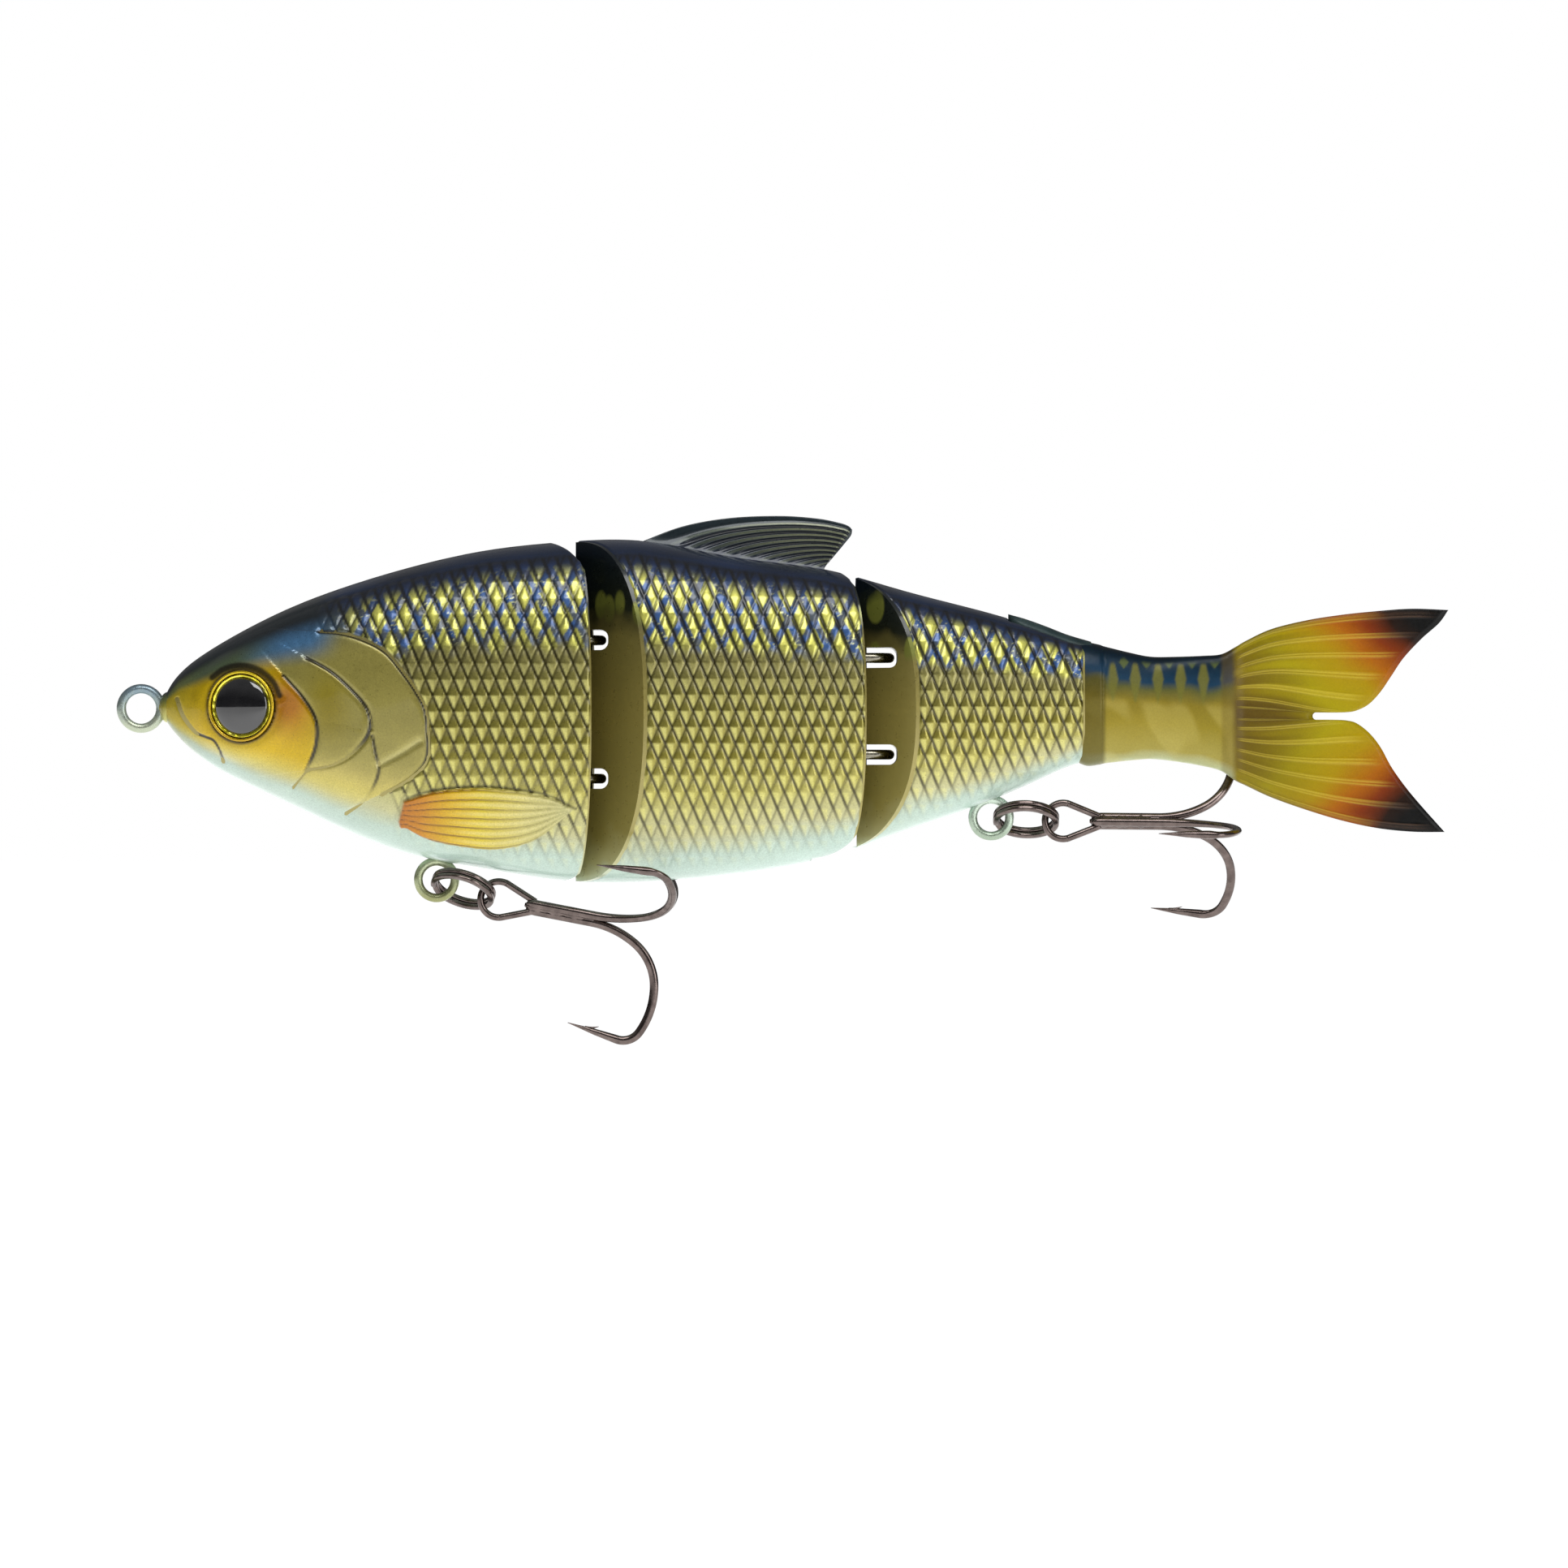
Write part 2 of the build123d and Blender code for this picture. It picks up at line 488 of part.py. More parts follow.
def treble_hook(hanger, offset, ring_slope, slope, roll):
    """A treble hook on its ring: a wire eye, a brazed shank and three prongs with barbed points."""
    along = ring_axis(slope)
    origin = ring_points(hanger, offset, ring_slope)[1] - along * HOOK_RING_S
    down = Vector(-sin(radians(slope)), 0, -cos(radians(slope)))
    flat = Plane(origin=origin, x_dir=along, z_dir=along.cross(down))
    eye_x = HOOK_EYE_R + HOOK_EYE_WIRE_R
    reach = sqrt((HOOK_EYE_END - eye_x) ** 2 + PRONG_START_R**2)
    tangent_at = atan2(PRONG_START_R, HOOK_EYE_END - eye_x) + acos(HOOK_EYE_R / reach)
    touch = (eye_x + HOOK_EYE_R * cos(tangent_at), HOOK_EYE_R * sin(tangent_at))
    with BuildPart() as hook:
        with BuildLine(flat) as eye:
            Line((HOOK_EYE_END, PRONG_START_R), touch)
            ThreePointArc(touch, (HOOK_EYE_WIRE_R, 0), (touch[0], -touch[1]))
            Line((touch[0], -touch[1]), (HOOK_EYE_END, -PRONG_START_R))
        with BuildSketch(Plane(origin=eye.wires()[0] @ 0, z_dir=eye.wires()[0] % 0)):
            Circle(HOOK_EYE_WIRE_R)
        sweep(path=eye.wires()[0])
        shank_start = Plane(origin=origin + along * SHANK_FROM, z_dir=along)
        with BuildSketch(shank_start):
            Circle(SHANK_R)
        extrude(amount=SHANK_TO - SHANK_FROM)
        for turn in (0, 120, 240):
            out = down * cos(radians(roll + turn)) + Vector(0, 1, 0) * sin(radians(roll + turn))
            side = Plane(origin=origin, x_dir=along, z_dir=along.cross(out))
            with BuildLine(side) as prong:
                last = Line((PRONG_FROM, PRONG_START_R), (PRONG_STRAIGHT_TO, PRONG_START_R))
                for radius, angle in PRONG_BENDS:
                    last = JernArc(last @ 1, last % 1, radius, angle)
            with BuildSketch(Plane(origin=prong.wires()[0] @ 0, z_dir=prong.wires()[0] % 0)):
                Circle(HOOK_WIRE_R)
            sweep(path=prong.wires()[0])
            tip = Plane(origin=prong.wires()[0] @ 1, z_dir=prong.wires()[0] % 1)
            with Locations(tip.location):
                Cone(HOOK_WIRE_R, HOOK_POINT_R, POINT_LENGTH, align=(Align.CENTER, Align.CENTER, Align.MIN))
            with BuildSketch(side):
                with BuildLine():
                    Polyline(BARB, close=True)
                make_face()
            extrude(amount=BARB_HALF_THICKNESS, both=True)
    return hook


RINGS = {"front": (HANGER_1, RING_1_OFFSET, RING_1_SLOPE), "rear": (HANGER_2, RING_2_OFFSET, RING_2_SLOPE)}
HOOKS = {"front": (HOOK_1_SLOPE, HOOK_1_ROLL), "rear": (HOOK_2_SLOPE, HOOK_2_ROLL)}
for name, ring in RINGS.items():
    finish(split_ring(*ring), f"split_ring_{name}")
    finish(treble_hook(*ring, *HOOKS[name]), f"treble_hook_{name}")
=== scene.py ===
import json
import math

import bmesh
import bpy
import numpy as np
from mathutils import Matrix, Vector
from mathutils.bvhtree import BVHTree


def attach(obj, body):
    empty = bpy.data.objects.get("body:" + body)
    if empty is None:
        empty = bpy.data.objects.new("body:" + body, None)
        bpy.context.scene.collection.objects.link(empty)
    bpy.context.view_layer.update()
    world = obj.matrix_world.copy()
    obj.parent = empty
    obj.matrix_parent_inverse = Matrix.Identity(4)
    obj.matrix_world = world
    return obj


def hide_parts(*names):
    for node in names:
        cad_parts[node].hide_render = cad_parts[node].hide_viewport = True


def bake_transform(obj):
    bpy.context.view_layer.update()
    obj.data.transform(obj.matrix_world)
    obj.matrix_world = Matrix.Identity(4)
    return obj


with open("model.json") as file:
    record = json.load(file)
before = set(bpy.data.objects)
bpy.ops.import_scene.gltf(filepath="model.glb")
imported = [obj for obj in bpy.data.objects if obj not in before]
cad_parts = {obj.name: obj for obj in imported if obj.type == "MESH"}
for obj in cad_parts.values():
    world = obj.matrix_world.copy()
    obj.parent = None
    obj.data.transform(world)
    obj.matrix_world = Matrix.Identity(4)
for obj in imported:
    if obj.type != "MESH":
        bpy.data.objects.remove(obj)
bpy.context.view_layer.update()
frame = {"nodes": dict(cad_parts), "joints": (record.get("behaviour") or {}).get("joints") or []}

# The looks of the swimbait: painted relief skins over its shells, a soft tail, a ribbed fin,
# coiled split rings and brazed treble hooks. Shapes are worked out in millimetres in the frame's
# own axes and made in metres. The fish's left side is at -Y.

MM = 0.001

# ---------------------------------------------------------------- driving dimensions, mm

# The body's (x, top, bottom, half width), as the shells are made
PROFILE = np.array([
    (4.0, 2.2, -1.9, 1.9),
    (6.2, 5.5, -4.7, 3.5),
    (10.2, 8.7, -8.1, 5.6),
    (16.0, 12.1, -11.4, 8.1),
    (23.0, 15.5, -14.7, 10.2),
    (31.0, 18.6, -18.5, 11.8),
    (42.0, 22.0, -22.8, 13.0),
    (55.0, 24.9, -25.4, 13.5),
    (67.0, 26.2, -27.2, 13.6),
    (79.0, 26.4, -27.4, 13.3),
    (94.0, 23.8, -26.1, 12.4),
    (108.0, 21.9, -23.6, 11.0),
    (121.0, 18.4, -19.2, 9.5),
    (133.7, 15.1, -14.8, 7.5),
    (143.0, 12.2, -10.8, 5.9),
    (149.3, 10.4, -8.4, 4.9),
])
ROUNDNESS = 2.4

# Each section's skin: its first and last x on the middle plane, how fast its V edge runs back and its
# groove runs out with the distance from that plane, and how far the groove goes
SECTIONS = {
    "head": {"front": (4.05, 0.0), "rear": (68.2, 0.252, 71.6), "rows": 330, "columns": 285,
             "scale_centre": (51.1, -5.65)},
    "middle": {"front": (68.9, 0.85), "rear": (111.4, 0.33, 115.0), "rows": 360, "columns": 210,
               "scale_centre": (85.33, -8.05)},
    "rear": {"front": (112.4, 1.15), "rear": (149.25, 0.0, 149.25), "rows": 290, "columns": 190,
             "scale_centre": (126.1, -4.8)},
}
EDGE_INSET = 0.12  # how far a skin stops short of its section's edge
SKIN_LIFT, SKIN_TUCK = 0.05, 0.06  # above the shell in the open, below it at the edges
SCALE_PITCH = (2.2, 5.08)  # width and height
SCALE_RELIEF, SCALE_RIDGE = 0.10, 0.19
NET_CENTRE, NET_PITCH = (94.05, 17.95), (4.15, 8.3)  # the sprayed pattern of yellow lozenges

EYE_CENTRE, EYE_YAW, EYE_RADIUS = (16.4, -8.15, 0.3), 19.0, 5.5

# Engraved lines of the head: (x, z)
MOUTH = [(5.9, 1.5), (6.9, -1.2), (8.85, -3.7), (10.6, -4.5), (12.1, -5.1), (13.0, -6.6), (13.3, -8.4)]
GILL_CHEEK = [(23.2, 5.0), (26.4, 1.4), (28.3, -2.0), (28.3, -5.8), (26.8, -9.5), (24.4, -12.4)]
GILL_FRONT = [(26.8, 7.8), (30.6, 5.7), (34.0, 2.7), (36.2, 0.1), (36.9, -2.4), (36.2, -4.8),
              (33.6, -7.5), (30.6, -9.0), (26.8, -9.6)]
GILL_LOWER = [(37.2, -4.4), (37.7, -7.1), (38.2, -9.7), (37.4, -12.2), (35.7, -14.4), (32.8, -16.5)]
OPERCULUM = [(28.7, 11.9), (32.3, 11.6), (35.7, 10.6), (39.2, 8.7), (42.1, 5.3), (44.1, 2.4),
             (45.5, -0.4), (45.9, -4.3), (45.9, -7.4), (44.9, -9.4), (41.8, -11.8), (38.6, -13.4)]
CREASE = [(38.3, -8.8), (41.4, -7.2), (44.6, -5.2)]
BROW_RADIUS = 6.4
BROW = [(EYE_CENTRE[0] + BROW_RADIUS * math.cos(math.radians(a)),
         EYE_CENTRE[2] + BROW_RADIUS * math.sin(math.radians(a))) for a in range(135, 0, -20)]

# Pectoral fin, in relief on the head's side: upper and lower edges, root to tip
PECTORAL_UPPER = [(42.4, -14.3), (47.3, -12.9), (54.0, -12.4), (60.0, -12.9), (65.0, -13.9), (69.0, -15.9)]
PECTORAL_LOWER = [(42.4, -18.9), (45.7, -20.6), (51.2, -21.8), (57.1, -22.2), (63.0, -20.6), (69.0, -15.9)]
PECTORAL_RAYS, PECTORAL_LIFT = 6, 0.55

# Dorsal fin: its top edge, its trailing edge and its root on the back
FIN_TOP = [(78.4, 26.1), (85.6, 28.8), (93.0, 30.15), (101.0, 30.5), (107.0, 30.1), (110.6, 29.4),
           (112.0, 28.9), (112.6, 28.3)]
FIN_TRAILING = [(112.6, 28.3), (112.4, 27.4), (111.3, 26.0), (109.8, 24.2), (108.3, 22.4)]
FIN_ROOT = [(79.0, 25.6), (94.0, 22.9), (108.3, 20.9)]
FIN_RAYS = 10
FIN_FOOT = [78, 94, 108, 115], [26.2, 23.6, 21.7, 20.4]  # the back's height at each x, where the blade widens

# Soft tail: (x, top, bottom, half width), then the fork's edges from each tip to the slit
TAIL_PROFILE = np.array([
    (148.4, 10.6, -8.6, 4.75),
    (149.9, 10.5, -9.1, 4.8),
    (152.0, 10.05, -8.85, 4.6),
    (152.5, 9.85, -8.7, 4.3),
    (157.0, 8.75, -8.2, 3.65),
    (160.0, 8.2, -8.0, 3.2),
    (163.8, 8.2, -8.4, 2.85),
    (168.0, 8.35, -9.1, 2.5),
    (171.0, 8.6, -9.9, 2.25),
    (173.2, 9.7, -11.4, 1.9),
    (175.0, 10.75, -12.25, 1.45),
    (179.0, 12.6, -14.1, 1.1),
    (184.6, 14.0, -16.1, 0.85),
    (190.2, 14.9, -17.8, 0.7),
    (195.7, 15.5, -19.0, 0.6),
    (201.3, 15.9, -19.6, 0.5),
    (207.1, 15.7, -19.65, 0.4),
])
FORK_UPPER = [(207.0, 15.6), (205.5, 13.5), (202.7, 11.0), (199.9, 8.0), (198.0, 5.2), (196.3, 2.7),
              (194.6, 0.85), (193.0, -0.1), (191.0, -0.6), (186.08, -0.62)]
FORK_LOWER = [(206.4, -19.55), (202.7, -15.4), (200.2, -12.4), (198.0, -9.3), (196.3, -6.2),
              (194.6, -4.0), (192.6, -2.4), (191.0, -1.9), (189.0, -1.78), (186.08, -1.78)]
SLIT_END, SLIT_R = np.array([185.5, -1.2]), 0.58
TONGUE_TOP = [(137.3, 14.95), (140.0, 14.2), (143.1, 13.1), (146.7, 11.7), (150.4, 10.6)]
TONGUE_HALF_WIDTH, TONGUE_DEPTH = 2.2, 1.7

RING_TILT, RING_WIRE, RING_COIL_GAP = 63.0, (0.98, 0.84), 0.89
RING_TURN, RING_STEP = (200, 912), (522, 592)  # degrees: the wire's ends, and where it runs over
HOOK_WIRE_R, HOOK_RING_S = 0.7, 2.3
HOOK_EYE_R, HOOK_EYE_WIRE_R, HOOK_EYE_END = 2.85, 0.55, 9.2
HOOK_BENDS = [(14.7, 30), (9.0, 49), (12.4, 36), (3.15, 73)]
HOOK_PRONG_R, HOOK_PRONG_FROM, HOOK_PRONG_STRAIGHT, HOOK_POINT = 0.74, 7.9, 18.5, 8.2
HOOK_BARB = [(2.9, 0.12), (3.6, 0.34), (4.3, 0.66), (4.9, 1.02)]  # back from the point, in from the wire
HOOK_BRAZING = (7.6, 18.2)  # where the three wires are brazed together, along the shank
HOOKS = {"front": (11.0, 0.0), "rear": (0.5, 36.0)}  # degrees: slope of the shank, roll about it

VIEW_CENTRE, VIEW_WIDTH, LENS, SENSOR = (101.8, -11.95), 248.3, 200.0, 36.0
FLOOR_Z, FLOOR_HALF = -78.0, 6000.0
ROOM_LEVEL, FLOOR_GLOW = 0.42, 0.86  # brightness of the room and of the floor by itself
# The room's bands of light, from straight down to straight up: position and level
ROOM_BANDS = [(0.0, 1.0), (0.36, 0.9), (0.47, 0.25), (0.58, 0.14), (0.72, 0.5), (1.0, 0.6)]

# ---------------------------------------------------------------- small tools


def srgb(red, green, blue):
    """A linear colour from display values of 0 to 255."""
    return np.array([((c / 255 + 0.055) / 1.055) ** 2.4 for c in (red, green, blue)])


def smooth(low, high, value):
    """0 below low and 1 above high, with a smooth step between."""
    t = np.clip((value - low) / (high - low), 0, 1)
    return t * t * (3 - 2 * t)


def rounded(value, power):
    """value to that power with its sign kept: it turns a circle into a softened box."""
    return np.sign(value) * np.abs(value) ** power


def mix(first, second, share):
    """Colours first to second by share, one share per point."""
    share = np.asarray(share)[..., None]
    return first * (1 - share) + second * share


def ramp(value, stops):
    """A colour for each value, from stops of a position and its display colour."""
    places, colours = [s[0] for s in stops], [srgb(*s[1:]) for s in stops]
    return np.stack([np.interp(value, places, [c[k] for c in colours]) for k in range(3)], -1)


def spline(points, count):
    """count points evenly spaced along a smooth curve through points."""
    p = np.array(points, float)
    p = np.vstack([2 * p[0] - p[1], p, 2 * p[-1] - p[-2]])
    t = np.linspace(0, 1, 24, endpoint=False)[:, None]
    parts = []
    for a, b, c, d in zip(p, p[1:], p[2:], p[3:]):
        parts.append(0.5 * (2 * b + (c - a) * t + (2 * a - 5 * b + 4 * c - d) * t**2
                            + (3 * b - a - 3 * c + d) * t**3))
    line = np.vstack([*parts, p[-2:-1]])
    along = np.concatenate([[0], np.cumsum(np.linalg.norm(np.diff(line, axis=0), axis=1))])
    even = np.linspace(0, along[-1], count)
    return np.stack([np.interp(even, along, line[:, k]) for k in range(p.shape[1])], -1)


def blurred(grid, radius):
    """A grid of numbers smoothed along both axes, with its edges' slopes kept."""
    span = 3 * radius
    kernel = np.exp(-0.5 * (np.arange(-span, span + 1) / radius) ** 2)
    kernel /= kernel.sum()
    for axis in (0, 1):
        pad = [(0, 0), (0, 0)]
        pad[axis] = (span, span)
        wide = np.pad(grid, pad, mode="reflect", reflect_type="odd")
        grid = np.apply_along_axis(np.convolve, axis, wide, kernel, mode="valid")
    return grid


def noise(points, size, seed):
    """Smooth repeatable noise from 0 to 1 over points in mm, with features of about that size."""
    waves = np.random.default_rng(seed)
    total = np.zeros(points.shape[:-1])
    for _ in range(7):
        direction = waves.normal(size=3)
        direction *= 2 * math.pi / (size * waves.uniform(0.7, 1.8) * np.linalg.norm(direction))
        total += np.sin(points @ direction + waves.uniform(0, 2 * math.pi))
    return 0.5 + total / 8


def toward(angle):
    """A unit step at that angle."""
    return np.array([math.cos(angle), math.sin(angle)])


def away_from(x, z, line):
    """Distance of each point (x, z) from a smooth line, and on which side of it: + in front."""
    curve = spline(line, 160)
    distance = np.full(x.shape, 1e9)
    side = np.zeros(x.shape)
    for start, end in zip(curve, curve[1:]):
        step = end - start
        t = np.clip(((x - start[0]) * step[0] + (z - start[1]) * step[1]) / (step @ step), 0, 1)
        dx, dz = x - start[0] - t * step[0], z - start[1] - t * step[1]
        here = np.hypot(dx, dz)
        nearer = here < distance
        distance = np.where(nearer, here, distance)
        side = np.where(nearer, np.sign(dx * step[1] - dz * step[0]), side)
    return distance, side


def normals_of(points):
    """Outward unit normals of a grid whose rows run down the fish's left side, front to rear."""
    down = np.gradient(points, axis=0)
    back = np.gradient(points, axis=1)
    normal = np.cross(down, back)
    normal /= np.linalg.norm(normal, axis=-1, keepdims=True) + 1e-12
    return normal


def make_mesh(name, points, faces, material, colour=None, body=None, slot=None, replaces=()):
    """A piece from points in mm, with paint, finish and the body it rides on."""
    mesh = bpy.data.meshes.new(name)
    mesh.from_pydata((points.reshape(-1, 3) * MM).tolist(), [], faces)
    if colour is not None:
        paint = mesh.attributes.new("paint", "FLOAT_COLOR", "POINT")
        paint.data.foreach_set("color", colour.reshape(-1).astype(np.float32))
    mesh.validate()
    mesh.shade_smooth()
    mesh.materials.append(material)
    piece = bpy.data.objects.new(name, mesh)
    bpy.context.scene.collection.objects.link(piece)
    if body:
        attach(piece, body)
    if replaces:
        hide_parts(*replaces)
    return piece


def painted(colour, metal):
    """Colour and share of metal as one paint value per point."""
    return np.concatenate([colour, np.broadcast_to(metal, colour.shape[:-1])[..., None]], -1)


def grid_faces(rows, columns, flip=False, round_columns=False, first=0):
    """Quads over a grid of points. round_columns joins the last column to the first."""
    index = first + np.arange(rows * columns).reshape(rows, columns)
    if round_columns:
        index = np.hstack([index, index[:, :1]])
    corners = [index[:-1, :-1], index[1:, :-1], index[1:, 1:], index[:-1, 1:]]
    if flip:
        corners.reverse()
    return np.stack(corners, -1).reshape(-1, 4).tolist()


def capped_faces(rows, columns):
    """Faces of a round bar of rows rings, with both ends closed."""
    count = rows * columns
    return grid_faces(rows, columns, round_columns=True) + [
        list(range(columns)), list(range(count - 1, count - columns - 1, -1))]


def sheet_with_back(x, z, thick):
    """The near and far sides of an upright sheet, thick to each side of the middle plane."""
    return np.stack([np.stack([x, -thick, z], -1), np.stack([x, thick, z], -1)])


def rim_faces(border, size):
    """Quads that join the near side's border to the far side's, whose points come size later."""
    return [[int(a), int(b), int(b) + size, int(a) + size] for a, b in border]


def tube(path, radii, sides=20, wide=None, wide_axis=None):
    """Points and faces of a closed bar along a path in mm. wide stretches it along wide_axis."""
    path = np.array(path, float)
    radii = np.broadcast_to(radii, len(path)).astype(float)
    wide = np.broadcast_to(1.0 if wide is None else wide, len(path))
    tangent = np.gradient(path, axis=0)
    tangent /= np.linalg.norm(tangent, axis=1, keepdims=True)
    side = np.cross(tangent[0], (0.3, 0.9, 0.2)) if wide_axis is None else np.array(wide_axis, float)
    rings = []
    for point, forward, radius, stretch in zip(path, tangent, radii, wide):
        side = side - forward * (side @ forward)
        side /= np.linalg.norm(side)
        across = np.cross(forward, side)
        turn = np.linspace(0, 2 * math.pi, sides, endpoint=False)[:, None]
        rings.append(point + radius * (np.cos(turn) * side * stretch + np.sin(turn) * across))
    return np.vstack(rings), capped_faces(len(path), sides)


def weld(piece):
    """Joins points that lie together and makes all faces point outward."""
    mesh = bmesh.new()
    mesh.from_mesh(piece.data)
    bmesh.ops.remove_doubles(mesh, verts=mesh.verts, dist=0.00001)
    bmesh.ops.recalc_face_normals(mesh, faces=mesh.faces)
    mesh.to_mesh(piece.data)
    mesh.free()
    piece.data.shade_smooth()


def joined(parts):
    """Several (points, faces) as one."""
    points, faces = [], []
    for some, quads in parts:
        first = sum(len(p) for p in points)
        points.append(some)
        faces += [[first + i for i in face] for face in quads]
    return np.vstack(points), faces


# ---------------------------------------------------------------- materials


class Nodes:
    """A node tree, with its nodes added by the methods below."""

    def __init__(self, tree):
        self.tree = tree

    def add(self, kind, properties=None, **inputs):
        """A node of that kind, its inputs given as values or as other nodes' outputs."""
        node = self.tree.nodes.new("ShaderNode" + kind)
        for key, value in (properties or {}).items():
            setattr(node, key, value)
        for key, value in inputs.items():
            numbered = key[1:].isdigit()
            socket = node.inputs[int(key[1:]) if numbered else key.replace("_", " ")]
            if isinstance(value, bpy.types.NodeSocket):
                self.tree.links.new(value, socket)
            else:
                socket.default_value = value
        return node

    def place(self):
        """The point on the piece, in the frame's metres."""
        return self.add("TexCoord").outputs["Object"]

    def height(self, low_mm, high_mm):
        """Height between two levels of the frame, as 0 to 1."""
        axes = self.add("SeparateXYZ", None, Vector=self.place()).outputs
        return self.between(axes[2], low_mm * MM, high_mm * MM)

    def math(self, operation, first, second):
        """A sum or product, as the operation says."""
        return self.add("Math", {"operation": operation}, i0=first, i1=second).outputs[0]

    def between(self, value, low, high, start=0.0, end=1.0):
        """value's place between low and high, as start to end."""
        return self.add("MapRange", None, i0=value, i1=low, i2=high, i3=start, i4=end).outputs[0]

    def blend(self, share, first, second, how="MIX"):
        """Two colours mixed by share."""
        node = self.add("Mix", {"data_type": "RGBA", "blend_type": how})
        for socket, value in ((0, share), (6, first), (7, second)):
            if isinstance(value, bpy.types.NodeSocket):
                self.tree.links.new(value, node.inputs[socket])
            else:
                node.inputs[socket].default_value = value if socket == 0 else (*value, 1)
        return node.outputs[2]

    def noise(self, size_mm, detail):
        """Noise with features of about that size."""
        scale = 1 / (size_mm * MM)
        return self.add("TexNoise", None, Vector=self.place(), Scale=scale, Detail=detail).outputs["Fac"]

    def uneven(self, size_mm, detail, start, end, low=0.3, high=0.7):
        """A number that wanders from start to end over features of about that size."""
        return self.between(self.noise(size_mm, detail), low, high, start, end)

    def colours(self, value, stops):
        """A colour ramp with (position, colour) stops."""
        node = self.add("ValToRGB", None, i0=value)
        while len(node.color_ramp.elements) < len(stops):
            node.color_ramp.elements.new(0.5)
        for element, (position, colour) in zip(node.color_ramp.elements, stops):
            element.position = position
            element.color = (*colour, 1)
        return node.outputs[0]


class Finish(Nodes):
    """One procedural material."""

    def __init__(self, name, **sockets):
        self.material = bpy.data.materials.new(name)
        self.material.use_nodes = True
        super().__init__(self.material.node_tree)
        self.shader = self.tree.nodes["Principled BSDF"]
        for socket, value in sockets.items():
            self.shader.inputs[socket.replace("_", " ")].default_value = value

    def feed(self, socket, output):
        """Links a node's output to the shader."""
        self.tree.links.new(output, self.shader.inputs[socket])

    def mottled(self, size_mm, detail, stops):
        """Base colour that wanders through the stops of a colour ramp."""
        self.feed("Base Color", self.colours(self.noise(size_mm, detail), stops))

    def wears_paint(self, *shades):
        """Base colour and metal from the mesh's paint, shaded by (size, detail, dark, light) noises."""
        paint = self.add("Attribute", {"attribute_name": "paint"})
        shades = [self.uneven(*shade) for shade in shades]
        shade = shades[0] if len(shades) == 1 else self.math("MULTIPLY", *shades)
        grey = self.add("CombineColor", None, i0=shade, i1=shade, i2=shade).outputs[0]
        self.feed("Base Color", self.blend(1.0, paint.outputs["Color"], grey, "MULTIPLY"))
        self.feed("Metallic", paint.outputs["Alpha"])

    def textured(self, gloss, grain):
        """The material, its roughness and fine bumps added.

        gloss is (size, detail, smoothest, roughest), as uneven takes it. grain is (size, detail, depth).
        Sizes and depth are in mm.
        """
        self.feed("Roughness", self.uneven(*gloss))
        size_mm, detail, depth_mm = grain
        bump = self.add("Bump", None, Height=self.noise(size_mm, detail), Distance=depth_mm * MM)
        self.feed("Normal", bump.outputs[0])
        return self.material


def painted_finish():
    """Lacquered metallic paint, its colour and share of metal given at each point of the mesh."""
    f = Finish("painted_scales", Coat_Weight=0.5, Coat_Roughness=0.07, Specular_IOR_Level=0.35)
    flakes, clouds = (0.24, 3.0, 0.76, 0.99), (5.0, 3.0, 0.95, 1.05)
    f.wears_paint(flakes, clouds)
    return f.textured((0.5, 3.0, 0.27, 0.38), (0.35, 3.0, 0.012))


# Joint faces, from the belly up, and the pale spots on their dark top: spacing along x, y and z, mm
JOINT_FACE_COLOURS = [
    (0.0, srgb(196, 208, 182)), (0.06, srgb(178, 176, 128)), (0.16, srgb(152, 142, 78)),
    (0.5, srgb(146, 134, 70)), (0.7, srgb(128, 118, 62)), (0.8, srgb(30, 34, 24)), (1.0, srgb(14, 24, 32))]
SPOT_SPACING, SPOT_COLOUR = (4.8, 4.8, 7.2), srgb(118, 122, 52)


def shell_finish(name, top, bottom, spots_to):
    """The smooth joint faces and edges of the shells: near black above, olive, then pale below."""
    f = Finish(name, Metallic=0.45, Coat_Weight=0.6, Coat_Roughness=0.1)
    height = f.math("ADD", f.height(bottom, top), f.uneven(6.0, 2.0, -0.03, 0.03))
    base = f.colours(height, JOINT_FACE_COLOURS)
    spacing = [1 / mm for mm in SPOT_SPACING]
    place = f.add("Mapping", None, Vector=f.place(), Scale=spacing).outputs[0]
    cells = f.add("TexVoronoi", {"feature": "F1"}, Vector=place, Scale=1 / MM, Randomness=0.45)
    spots = f.between(cells.outputs["Distance"], 0.42, 0.34)
    band = f.math("MULTIPLY", f.between(height, spots_to, spots_to + 0.06), f.between(height, 0.96, 0.9))
    f.feed("Base Color", f.blend(f.math("MULTIPLY", spots, band), base, SPOT_COLOUR))
    return f.textured((0.8, 3.0, 0.26, 0.4), (0.5, 3.0, 0.015))


def wire_finish(name, dark, light, roughness, scratches):
    """Plated or bare drawn wire."""
    f = Finish(name, Metallic=1.0, Specular_IOR_Level=0.6)
    f.mottled(1.3, 4.0, [(0.3, dark), (0.7, light)])
    return f.textured((0.35, 4.0, roughness, roughness + 0.14, 0.25, 0.75), (0.12, 4.0, scratches))


def coated_wire_finish(name, low_colour, high_colour, low, high):
    """Wire under paint oversprayed with the belly, its colour changing with height."""
    f = Finish(name, Metallic=0.7, Coat_Weight=0.5, Coat_Roughness=0.12)
    height = f.math("ADD", f.height(low, high), f.uneven(1.2, 3.0, -0.3, 0.3, 0, 1))
    f.feed("Base Color", f.colours(height, [(0.1, low_colour), (0.9, high_colour)]))
    return f.textured((0.4, 3.0, 0.24, 0.42), (0.4, 3.0, 0.03))


